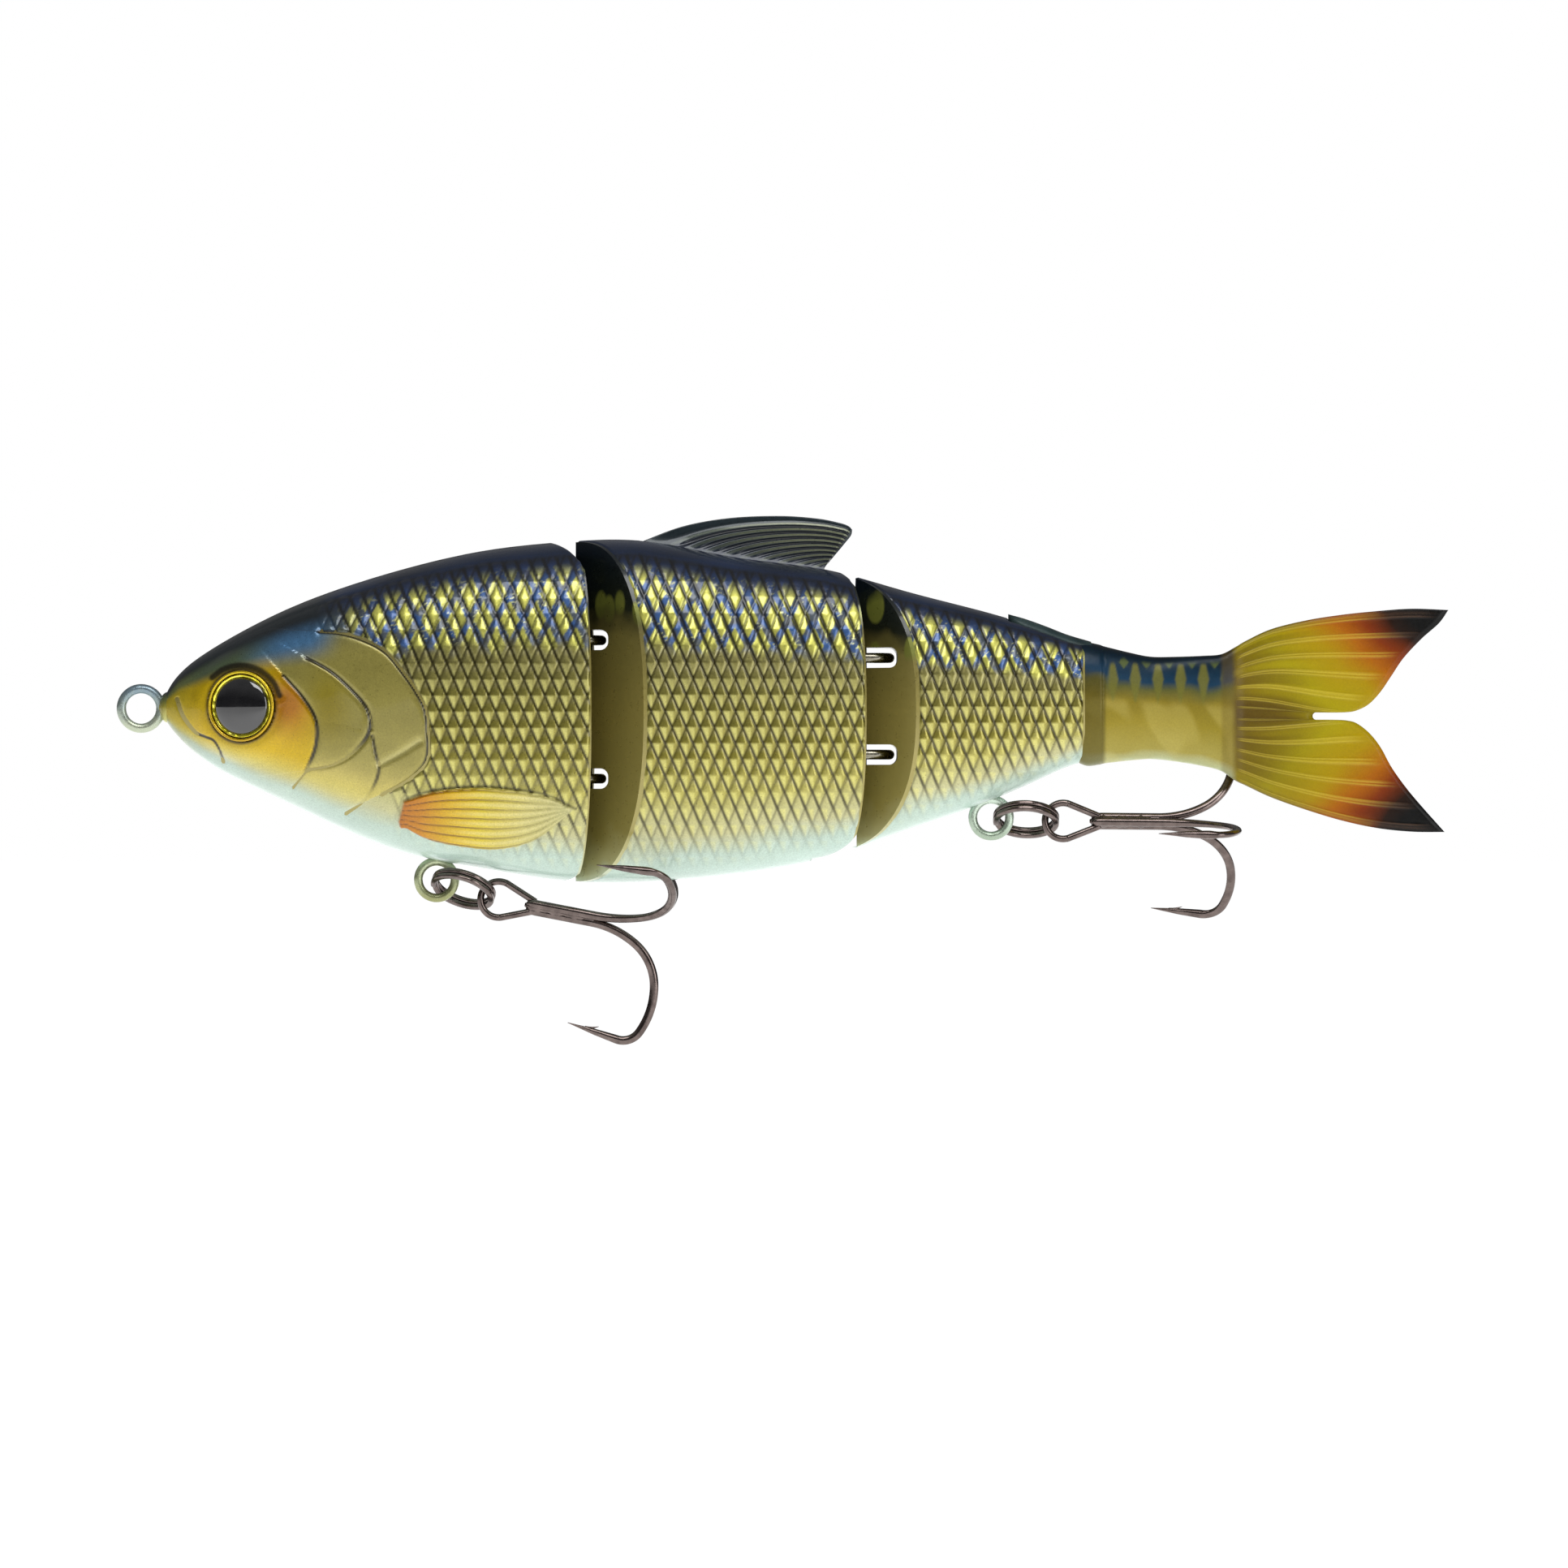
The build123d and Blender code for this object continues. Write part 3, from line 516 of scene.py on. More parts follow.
def foil_finish():
    """Gold foil under clear resin, creased so that it glints."""
    f = Finish("eye_foil", Metallic=0.9, Coat_Weight=1.0, Coat_Roughness=0.03)
    f.mottled(2.2, 3.0, [(0.32, srgb(150, 130, 8)), (0.5, srgb(232, 222, 20)), (0.68, srgb(250, 240, 96))])
    return f.textured((0.6, 2.0, 0.16, 0.34), (1.1, 2.0, 0.09))


def pupil_finish():
    """Polished black dome."""
    f = Finish("eye_pupil_gloss", Coat_Weight=1.0, Coat_Roughness=0.02, Specular_IOR_Level=0.7)
    f.mottled(1.5, 2.0, [(0.3, (0.002, 0.002, 0.003)), (0.7, (0.006, 0.006, 0.007))])
    return f.textured((0.7, 3.0, 0.05, 0.1), (3.0, 1.0, 0.01))


def soft_finish():
    """Soft plastic that light gets into, its colour given at each point of the mesh."""
    f = Finish("soft_plastic", Subsurface_Weight=0.1, Subsurface_Scale=0.0006, Coat_Weight=0.08,
               Coat_Roughness=0.2, IOR=1.4, Specular_IOR_Level=0.2)
    f.shader.inputs["Subsurface Radius"].default_value = (1.0, 0.8, 0.2)
    f.wears_paint((0.25, 2.0, 0.93, 1.06))
    return f.textured((0.9, 3.0, 0.3, 0.46), (0.6, 3.0, 0.02))


def iron_finish():
    """Bare ballast."""
    f = Finish("ballast_iron", Metallic=0.9)
    f.mottled(0.9, 4.0, [(0.3, srgb(70, 70, 72)), (0.7, srgb(112, 110, 108))])
    return f.textured((0.5, 4.0, 0.5, 0.75), (0.4, 4.0, 0.06))


PAINT = painted_finish()
SOFT = soft_finish()
BLACK_NICKEL = wire_finish("black_nickel_wire", srgb(88, 78, 75), srgb(116, 104, 100), 0.12, 0.002)
STEEL = wire_finish("stainless_wire", srgb(112, 108, 92), srgb(160, 156, 142), 0.18, 0.004)
FINISHES = {
    "head_shell": shell_finish("head_shell_paint", 26.2, -27.2, 0.74),
    "middle_shell": shell_finish("middle_shell_paint", 26.4, -27.4, 0.74),
    "rear_shell": shell_finish("rear_shell_paint", 20.5, -21.5, 0.66),
    "eye_ring": foil_finish(),
    "eye_pupil": pupil_finish(),
    "line_tie": coated_wire_finish(
        "line_tie_overspray", srgb(176, 184, 160), srgb(120, 140, 150), -3.8, 3.8),
    "belly_hanger_front": coated_wire_finish(
        "front_hanger_paint", srgb(138, 140, 92), srgb(176, 186, 150), -31, -24),
    "belly_hanger_rear": coated_wire_finish(
        "rear_hanger_paint", srgb(150, 166, 146), srgb(196, 212, 196), -21, -14),
    "hinge": STEEL,
    "ballast": iron_finish(),
}
for node, cad in frame["nodes"].items():
    for start, finish in FINISHES.items():
        if node.startswith(start):
            for cad_slot in cad.material_slots:
                cad_slot.material = finish

# ---------------------------------------------------------------- body skins


def profile_at(x):
    """The body's top, bottom and half width at each x."""
    return [np.interp(x, PROFILE[:, 0], PROFILE[:, k]) for k in (1, 2, 3)]


def outline_table(rows):
    """For evenly spaced stations along the body, points down its left side at even spacing."""
    stations = np.linspace(4.0, 149.3, 220)
    turn = np.linspace(0, math.pi, 500)
    across = np.sin(turn) ** (2 / ROUNDNESS)
    upward = rounded(np.cos(turn), 2 / ROUNDNESS)
    share = np.linspace(0, 1, rows)
    ys, zs = [], []
    for top, bottom, half in zip(*profile_at(stations)):
        y, z = -half * across, (top + bottom) / 2 + (top - bottom) / 2 * upward
        along = np.concatenate([[0], np.cumsum(np.hypot(np.diff(y), np.diff(z)))])
        ys.append(np.interp(share * along[-1], along, y))
        zs.append(np.interp(share * along[-1], along, z))
    return stations, np.array(ys).T, np.array(zs).T


CAST_FROM = 60.0  # outside the body everywhere
STRAY = 6.0  # a surface found this far from the body's outline isn't the shell's outside
SURFACE_BLUR = 5


def shell_surface(name, spec):
    """The left shell's outer surface as a grid in mm, rows down the side, columns toward the tail."""
    rows, columns = spec["rows"], spec["columns"]
    stations, ys, zs = outline_table(rows)

    def side_at(x, table):
        return np.array([np.interp(x[j], stations, table[j]) for j in range(rows)])

    front, front_slope = spec["front"]
    rear, rear_slope, rear_most = spec["rear"]
    first, last = np.full(rows, front), np.full(rows, rear)
    for _ in range(12):
        first = front + front_slope * np.abs(side_at(first, ys))
        last = np.minimum(rear_most, rear + rear_slope * np.abs(side_at(last, ys)))
    inset = EDGE_INSET if name != "head" else 0
    x = np.linspace(first + inset, last - EDGE_INSET, columns, axis=1)
    y, z = side_at(x, ys), side_at(x, zs)
    top, bottom, _ = profile_at(x)
    middle = (top + bottom) / 2
    expected = np.hypot(y, z - middle)
    shell = BVHTree.FromObject(frame["nodes"][f"{name}_shell_left"], bpy.context.evaluated_depsgraph_get())
    found = expected.copy()
    for j in range(rows):
        for i in range(columns):
            out = Vector((0, min(y[j, i], -0.03), z[j, i] - middle[j, i])).normalized()
            centre = Vector((x[j, i], 0, middle[j, i]))
            hit = shell.ray_cast((centre + out * CAST_FROM) * MM, -out, CAST_FROM * MM)[0]
            if hit is not None:
                found[j, i] = (hit / MM - centre).length
    stray = np.abs(found - expected) > STRAY
    found[stray] = expected[stray]
    if name == "head":
        beside_eye = np.hypot(x - EYE_CENTRE[0], z - EYE_CENTRE[2]) < EYE_RADIUS + 1.0
        found[beside_eye] = expected[beside_eye]
    even = blurred(found, SURFACE_BLUR)
    reach = np.maximum(even, found)
    if name == "head":
        reach = np.where(beside_eye, even, reach)
    scale = reach / expected
    points = np.stack([x, y * scale, middle + (z - middle) * scale], -1)
    height = (points[..., 2] - middle) / ((top - bottom) / 2)
    from_edge = np.minimum(x - x[:, :1] + (9 if name == "head" else 0), x[:, -1:] - x)
    return points, height, from_edge


def lattice(x, z, centre, pitch):
    """Where each point is in its lozenge: distance to the two borders, height and place across it."""
    along, up = (x - centre[0]) / pitch[0], (z - centre[1]) / pitch[1]
    u, v = (along + up + 0.5) % 1, (along - up + 0.5) % 1
    return 0.5 - np.abs(u - 0.5), 0.5 - np.abs(v - 0.5), u - v, u + v - 1


# Along the body's height, from -1 at the belly to 1 at the back: the paint, then its share of metal
BODY_PAINT = [(-1.0, 184, 208, 196), (-0.86, 186, 206, 190), (-0.72, 194, 192, 142), (-0.5, 176, 168, 84),
              (-0.25, 152, 143, 60), (0.1, 138, 131, 60), (0.4, 134, 128, 76), (0.62, 98, 102, 80),
              (0.86, 20, 34, 60), (1.0, 12, 22, 40)]
BODY_METAL = [-1.0, -0.8, -0.5, 0.6, 0.88, 1.0], [0.0, 0.1, 0.7, 0.7, 0.2, 0.2]


def body_colour(points, height):
    """The paint without its scales: a pale belly, gold flanks and a slate back. And its share of metal."""
    drift = 0.05 * (noise(points, 9.0, 3) - 0.5)
    return ramp(height + drift, BODY_PAINT), np.interp(height + drift, *BODY_METAL)


def sprayed_net(points, height, colour, metal, strength):
    """Yellow lozenges on blue, sprayed through a net along the upper flanks."""
    falling, rising, *_ = lattice(points[..., 0], points[..., 2], NET_CENTRE, NET_PITCH)
    lozenge = smooth(0.11, 0.18, np.minimum(falling, rising) + 0.05 * (noise(points, 1.6, 11) - 0.5))
    band = smooth(0.34, 0.46, height + 0.08 * (noise(points, 4.0, 5) - 0.5)) * strength
    speckle = smooth(0.74, 0.8, noise(points, 0.55, 21)) * smooth(0.45, 0.62, noise(points, 2.5, 23))
    blue = mix(srgb(58, 92, 146), srgb(78, 86, 94), smooth(0.35, 0.7, noise(points, 2.2, 8)))
    blue = mix(blue, srgb(206, 208, 150), speckle * 0.8)
    back = smooth(0.68, 0.9, height)
    yellow = mix(srgb(208, 206, 100), srgb(28, 42, 68), smooth(0.74, 0.88, height))
    blue = mix(blue, srgb(22, 38, 70), back)
    colour = mix(colour, mix(blue, yellow, lozenge), band)
    metal = metal * (1 - band) + band * (0.35 + 0.3 * lozenge) * (1 - 0.6 * back)
    return colour, metal


def scaled(points, height, centre, strength, colour, relief):
    """Adds the raised scales: their height, dark paint with painted shade in the grooves between them, and a
    painted highlight on each scale's lower left.
    """
    x, z = points[..., 0], points[..., 2]
    bend = 0.05 * (noise(points, 14.0, 31) - 0.5)
    falling, rising, high, across = lattice(x + bend, z, centre, SCALE_PITCH)
    raised = smooth(0.0, 0.19, falling) * smooth(0.0, 0.15, rising)
    peak = smooth(0.02, 0.4, np.minimum(falling, rising))
    fades = 1 - 0.5 * smooth(0.6, 0.85, height)
    rise = SCALE_RELIEF + SCALE_RIDGE * (1 - np.abs(high)) * (0.3 + 0.7 * peak)
    relief = relief + fades * strength * raised * rise
    dark = mix(srgb(40, 34, 0), srgb(14, 15, 18), smooth(0.3, 0.5, height))
    pale_belly = smooth(-0.62, -0.86, height)
    heavy = 0.02 * smooth(0.2, 0.5, height)
    # Dark paint and painted shade in the grooves: the falling grooves are painted darker than the rising
    # ones, as shade from light at the lower left.
    groove = np.maximum(0.94 * (1 - smooth(0.06 + heavy, 0.19 + heavy, falling)),
                        (0.44 + 9 * heavy) * (1 - smooth(0.03 + heavy, 0.15 + heavy, rising)))
    colour = mix(colour, dark, groove * strength * (1 - 0.75 * pale_belly))
    # Painted highlight: each scale's lower left is paler, as if lit from below and the left.
    painted_highlight = strength * raised * smooth(0.03, -0.12, high) * smooth(0.32, 0.02, across)
    painted_highlight = painted_highlight * smooth(0.45, 0.0, height) * (1 - 0.6 * pale_belly)
    colour = mix(colour, srgb(228, 222, 130), 0.55 * painted_highlight)
    top_corner = strength * raised * smooth(0.3, 0.8, high) * (1 - pale_belly) * smooth(0.6, 0.3, height)
    colour = mix(colour, srgb(196, 188, 140), 0.45 * top_corner)
    return colour, relief


def ridge_strip(points, height, colour, metal, relief, strength):
    """The smooth strip along the back, standing a little above the scales."""
    strip = smooth(0.905, 0.945, height) * strength
    shadow = smooth(0.86, 0.92, height) * (1 - strip) * strength
    colour = mix(colour, srgb(12, 14, 18), 0.75 * shadow)
    colour = mix(colour, mix(srgb(8, 18, 34), srgb(18, 36, 66), noise(points, 12.0, 41)), strip)
    return colour, metal * (1 - strip) + 0.15 * strip, relief + 0.14 * strip


# The head's lines: depth, darkness, width, and the height below which the dark paint fades
ENGRAVED = [(OPERCULUM, 0.16, 0.95, 0.5, -8.0), (GILL_FRONT, 0.18, 0.95, 0.45, -4.5),
            (GILL_CHEEK, 0.16, 0.95, 0.42, -7.5), (GILL_LOWER, 0.16, 0.85, 0.38, -11.0),
            (MOUTH, 0.16, 0.98, 0.32, -20.0), (BROW, 0.14, 0.92, 0.7, -20.0)]


def head_details(points, height, colour, metal, relief):
    """Cheek, gill plates, mouth and brow: their colours, raised edges and engraved lines."""
    x, z = points[..., 0], points[..., 2]
    amber, orange, khaki = srgb(200, 168, 0), srgb(176, 112, 0), srgb(154, 144, 72)
    plates_from, in_operculum = away_from(x, z, OPERCULUM)
    front_from, in_front = away_from(x, z, GILL_FRONT)
    cheek_from, in_cheek = away_from(x, z, GILL_CHEEK)
    lower_from, in_lower = away_from(x, z, GILL_LOWER)

    flank = smooth(-0.84, -0.6, height) * smooth(0.78, 0.42, height)
    on_plates = np.where((in_operculum > 0) & (z < OPERCULUM[0][1]), 1.0, 0.0)
    ahead = smooth(29.5, 24.0, x)
    on_plates = np.maximum(on_plates * smooth(0.0, 0.2, plates_from), ahead)
    warm = mix(khaki, srgb(184, 170, 92), smooth(-0.35, -0.6, height))
    yellow_patch = np.exp(-((x - 30.3) / 3.4) ** 2 - ((z - 0.4) / 5.5) ** 2)
    behind_line = smooth(0.0, 0.4, np.where(in_front > 0, front_from, 0))
    warm = mix(warm, srgb(142, 126, 4), 0.9 * yellow_patch * behind_line)
    cheek = np.where(in_cheek > 0, smooth(0.0, 0.25, cheek_from), 0.0) * smooth(31.0, 27.0, x)
    warm = mix(warm, amber, np.maximum(cheek, smooth(22.5, 18.0, x)))
    glow = np.exp(-((x - 24.0) / 3.6) ** 2 - ((z - 0.6) / 4.4) ** 2)
    warm = mix(warm, orange, np.clip(glow * 1.1, 0, 1) * cheek)
    warm = mix(warm, srgb(206, 192, 98), smooth(-0.46, -0.74, height))
    colour = mix(colour, warm, on_plates * flank)
    metal = metal * (1 - on_plates * flank) + 0.5 * on_plates * flank

    upper = smooth(0.36, 0.62, height) * smooth(33.0, 27.0, x)
    teal = mix(srgb(88, 104, 74), srgb(78, 126, 168), smooth(15.0, 24.0, x))
    crown = mix(teal, srgb(20, 29, 34), smooth(0.6, 0.84, height))
    colour = mix(colour, crown, upper)
    snout = smooth(11.0, 5.0, x)
    colour = mix(colour, srgb(150, 144, 52), 0.55 * snout * smooth(0.9, 0.4, height))

    for distance, inside, lift, width in ((plates_from, in_operculum, 0.42, 5.0),
                                          (front_from, in_front, 0.34, 4.0),
                                          (cheek_from, in_cheek, 0.30, 3.5),
                                          (lower_from, in_lower, 0.26, 3.5)):
        near = np.where(inside > 0, np.exp(-distance / width), 0.0) * smooth(0.0, 0.22, distance)
        relief = relief + lift * near * smooth(0.95, 0.7, np.abs(height))

    for line, depth, dark, wide, fades in ENGRAVED:
        distance, _ = away_from(x, z, line)
        fading = 0.12 + 0.88 * smooth(fades - 3, fades, z)
        colour = mix(colour, srgb(30, 26, 14), dark * (1 - smooth(wide * 0.35, wide, distance)) * fading)
        relief = relief - depth * np.exp(-(distance / wide) ** 2)
    crease_from, _ = away_from(x, z, CREASE)
    relief = relief - 0.18 * np.exp(-(crease_from / 0.6) ** 2)
    colour = mix(colour, srgb(206, 198, 132), 0.5 * np.exp(-(crease_from / 0.5) ** 2))
    return colour, metal, relief


PECTORAL_PAINT = [(0.0, 176, 102, 0), (3.5, 192, 126, 0), (8.0, 208, 168, 0), (13.0, 210, 188, 44),
                  (20.0, 198, 188, 110), (28.0, 172, 170, 116)]  # by distance from the root


def pectoral_fin(points, colour, metal, relief):
    """The fin folded against the side: raised, grooved along its rays, orange at its root."""
    x, z = points[..., 0], points[..., 2]
    base, tip = PECTORAL_UPPER[0][0], PECTORAL_UPPER[-1][0]
    upper = np.interp(x, *spline(PECTORAL_UPPER, 80).T)
    lower = np.interp(x, *spline(PECTORAL_LOWER, 80).T)
    share = (upper - z) / np.maximum(upper - lower, 0.05)
    length = (x - base) / (tip - base)
    root = x - 41.0 - 1.3 * np.abs(share - 0.75)
    inside = smooth(0.0, 0.35, upper - z) * smooth(0.0, 0.35, z - lower) * smooth(0.0, 0.5, root) * (x < tip)
    ray = np.abs((share * (PECTORAL_RAYS + 0.6) + 0.2) % 1 - 0.5)
    groove = (1 - smooth(0.0, 0.14, ray)) * smooth(0.97, 0.8, length) * smooth(0.1, 0.6, root)
    relief = relief * (1 - inside) + inside * (PECTORAL_LIFT * (1 - 0.45 * length) - 0.2 * groove)
    between_rays = 0.35 * smooth(0.25, 0.42, ray) * smooth(6, 14, root)
    fin = mix(ramp(root, PECTORAL_PAINT), srgb(232, 222, 160), between_rays)
    fin = mix(fin, srgb(104, 66, 4), 0.95 * groove * smooth(24.0, 8.0, root))
    fin = mix(fin, srgb(150, 140, 78), 0.55 * groove * smooth(6.0, 22.0, root))
    colour = mix(colour, fin, inside)
    rim = np.exp(-((z - upper - 0.15) / 0.22) ** 2) * smooth(0.0, 1.5, root) * (x < tip + 0.3)
    colour = mix(colour, srgb(52, 48, 24), 0.75 * rim)
    return colour, metal * (1 - inside) + 0.25 * inside, relief


def seat_for_eye(points):
    """Raises the cheek to the eye's rim all round, and passes below the eye itself."""
    yaw = math.radians(EYE_YAW)
    outward = np.array([-math.sin(yaw), -math.cos(yaw), 0])
    away = points - np.array(EYE_CENTRE)
    depth = away @ outward
    radius = np.linalg.norm(away - depth[..., None] * outward, axis=-1)
    hole = EYE_RADIUS + 0.05
    wanted = np.where(radius < hole, -1.0, 0.12 - 0.1 * smooth(hole, hole + 0.9, radius))
    share = smooth(9.4, 6.3, radius)
    shift = np.where(radius < hole, wanted - depth, np.maximum(wanted - depth, 0) * share)
    return points + shift[..., None] * outward, radius


def head_cover(x, z):
    """How far the head is scaled: fully behind the gill cover and above it, and faintly on the nape."""
    (top_x, top_z), (_, bottom_z) = OPERCULUM[0], OPERCULUM[-1]
    distance, inside = away_from(x, z, OPERCULUM)
    behind = np.where(inside > 0, 0.0, smooth(0.25, 0.6, distance))
    above = smooth(10.5, 12.4, z) * smooth(24.0, 31.0, x)
    faint = 0.14 * smooth(19.0, 22.0, x) * smooth(5.4, 6.8, z) * smooth(33.0, 28.0, x)
    behind = np.where((z > top_z) | (x < top_x), above + faint * (1 - above), behind)
    behind = np.where((z < bottom_z) & (x < 46), smooth(38.5, 42.5, x) * 0.6, behind)
    return np.clip(behind, 0, 1)


def body_skin(name, spec):
    """Both sides' painted skins of one section."""
    base, height, from_edge = shell_surface(name, spec)
    x, z = base[..., 0], base[..., 2]
    colour, metal = body_colour(base, height)
    relief = np.zeros(x.shape)
    scales = smooth(0.935, 0.9, height) * smooth(-0.97, -0.8, height)
    strip = net = np.ones(x.shape)
    if name == "head":
        cover = head_cover(x, z)
        scales = scales * cover
        strip = smooth(10.0, 30.0, x)
        net = cover * smooth(30, 38, x)
    colour, metal = sprayed_net(base, height, colour, metal, net)
    colour, relief = scaled(base, height, spec["scale_centre"], scales, colour, relief)
    colour, metal, relief = ridge_strip(base, height, colour, metal, relief, strip)
    normal = normals_of(base)
    if name == "head":
        colour, metal, relief = head_details(base, height, colour, metal, relief)
        colour, metal, relief = pectoral_fin(base, colour, metal, relief)
    open_skin = smooth(0.0, 0.45, from_edge)
    points = base + normal * ((SKIN_LIFT + relief) * open_skin - SKIN_TUCK * (1 - open_skin))[..., None]
    if name == "head":
        points, radius = seat_for_eye(points)
        # Painted shadow round the eye's rim, and painted shade on the skin at the floor of the gap inside it.
        colour = mix(colour, srgb(36, 24, 4), 0.9 * np.exp(-((radius - EYE_RADIUS - 0.25) / 0.34) ** 2))
        colour = mix(colour, srgb(34, 22, 4), smooth(EYE_RADIUS + 0.15, EYE_RADIUS, radius))
    points[[0, -1], :, 1] = 0.0
    for label, side in (("left", 1), ("right", -1)):
        make_mesh(f"{name}_scales_{label}", points * (1, side, 1), grid_faces(*x.shape, flip=side > 0),
                  PAINT, painted(colour, metal), name, "painted_shell")


for section, spec in SECTIONS.items():
    body_skin(section, spec)

# ---------------------------------------------------------------- nose

NOSE_FROM, NOSE_LENGTH, NOSE_HOLE = 4.25, 1.35, 0.4  # the hole is that share of the nose's own size
NOSE_PAINT = [(-1.0, 196, 196, 120), (0.0, 160, 150, 56), (0.5, 96, 104, 56), (1.0, 44, 54, 52)]


def nose_cap():
    """The rounded tip that closes the nose round the line tie's neck."""
    rows, columns = 14, 64
    turn = np.linspace(0, 2 * math.pi, columns, endpoint=False)
    top, bottom, half = profile_at(NOSE_FROM)
    points = []
    for share in np.linspace(0, 1, rows):
        x = NOSE_FROM - NOSE_LENGTH * math.sin(share * math.pi / 2)
        size = max(math.cos(share * math.pi / 2) * 0.62 + 0.38 * (1 - share**2) + 0.02, NOSE_HOLE)
        y = half * size * rounded(np.cos(turn), 2 / ROUNDNESS)
        z = (top + bottom) / 2 + (top - bottom) / 2 * size * rounded(np.sin(turn), 2 / ROUNDNESS)
        points.append(np.stack([np.full(columns, x), y, z], -1))
    points = np.array(points)
    colour = ramp((points[..., 2] - 0.15) / 2.4, NOSE_PAINT)
    faces = grid_faces(rows, columns, flip=True, round_columns=True)
    make_mesh("nose_tip", points, faces, PAINT, painted(colour, 0.4), "head", "painted_shell")


nose_cap()

# ---------------------------------------------------------------- eyes

EYE_RIM = (5.36, 0.2, 0.24, 0.3)  # radius, height, half width and half height of the amber rim
EYE_BACK = -0.7  # where the foil and the dome end, inside the head
EYE_FOIL = [(4.94, EYE_BACK), (4.94, 0.18), (4.82, 0.2), (4.42, 0.0), (4.36, EYE_BACK)]
DOME_RADIUS, DOME_HEIGHT = 4.5, 1.25


def turned(profile, side, creases=0.0):
    """A closed (radius, height) outline turned about the eye's axis. creases wrinkles its front."""
    yaw = math.radians(EYE_YAW)
    centre = np.array([EYE_CENTRE[0], side * EYE_CENTRE[1], EYE_CENTRE[2]])
    outward = np.array([-math.sin(yaw), -side * math.cos(yaw), 0])
    across, count = np.cross(outward, (0, 0, 1)), 144
    turn = np.linspace(0, 2 * math.pi, count, endpoint=False)[:, None]
    radius, height = np.array(profile).T
    wrinkle = creases * np.sin(turn * 17 + 2 * np.sin(turn * 5)) * (height > -0.2)
    points = centre + radius[None, :, None] * (np.cos(turn)[..., None] * across
                                               + np.sin(turn)[..., None] * np.array([0, 0, 1]))
    points = points + (height + wrinkle)[..., None] * outward
    faces = grid_faces(count, len(profile), round_columns=True)
    last, ring = (count - 1) * len(profile), list(range(len(profile)))
    faces += [[last + a, a, b, last + b] for a, b in zip(ring, ring[1:] + ring[:1])]
    return points, faces


def eyes():
    """On each side an amber rim, a ring of gold foil inside a dark gap, and a glossy black dome."""
    rim_finish = coated_wire_finish("eye_rim_amber", srgb(186, 150, 8), srgb(216, 190, 20), -6, 6)
    around = np.linspace(0, 2 * math.pi, 18, endpoint=False)
    rim = [(EYE_RIM[0] + EYE_RIM[2] * math.cos(a), EYE_RIM[1] + EYE_RIM[3] * math.sin(a)) for a in around]
    climb = np.linspace(0, math.pi / 2, 22)
    dome = [(DOME_RADIUS * math.cos(a), DOME_HEIGHT * math.sin(a)) for a in climb]
    dome = [(0.0, EYE_BACK), (DOME_RADIUS, EYE_BACK)] + dome
    for name, side in (("left", 1), ("right", -1)):
        for label, outline, finish, slot, creases, node in (
                ("eye_rim", rim, rim_finish, "eye_gold", 0.0, f"eye_ring_{name}"),
                ("eye_foil", EYE_FOIL, FINISHES["eye_ring"], "eye_gold", 0.05, None),
                ("eye_dome", dome, FINISHES["eye_pupil"], "eye_black", 0.0, f"eye_pupil_{name}")):
            points, faces = turned(outline, side, creases)
            replaced = [node] if node else []
            weld(make_mesh(f"{label}_{name}", points, faces, finish, None, "head", slot, replaced))


eyes()

# ---------------------------------------------------------------- dorsal fin


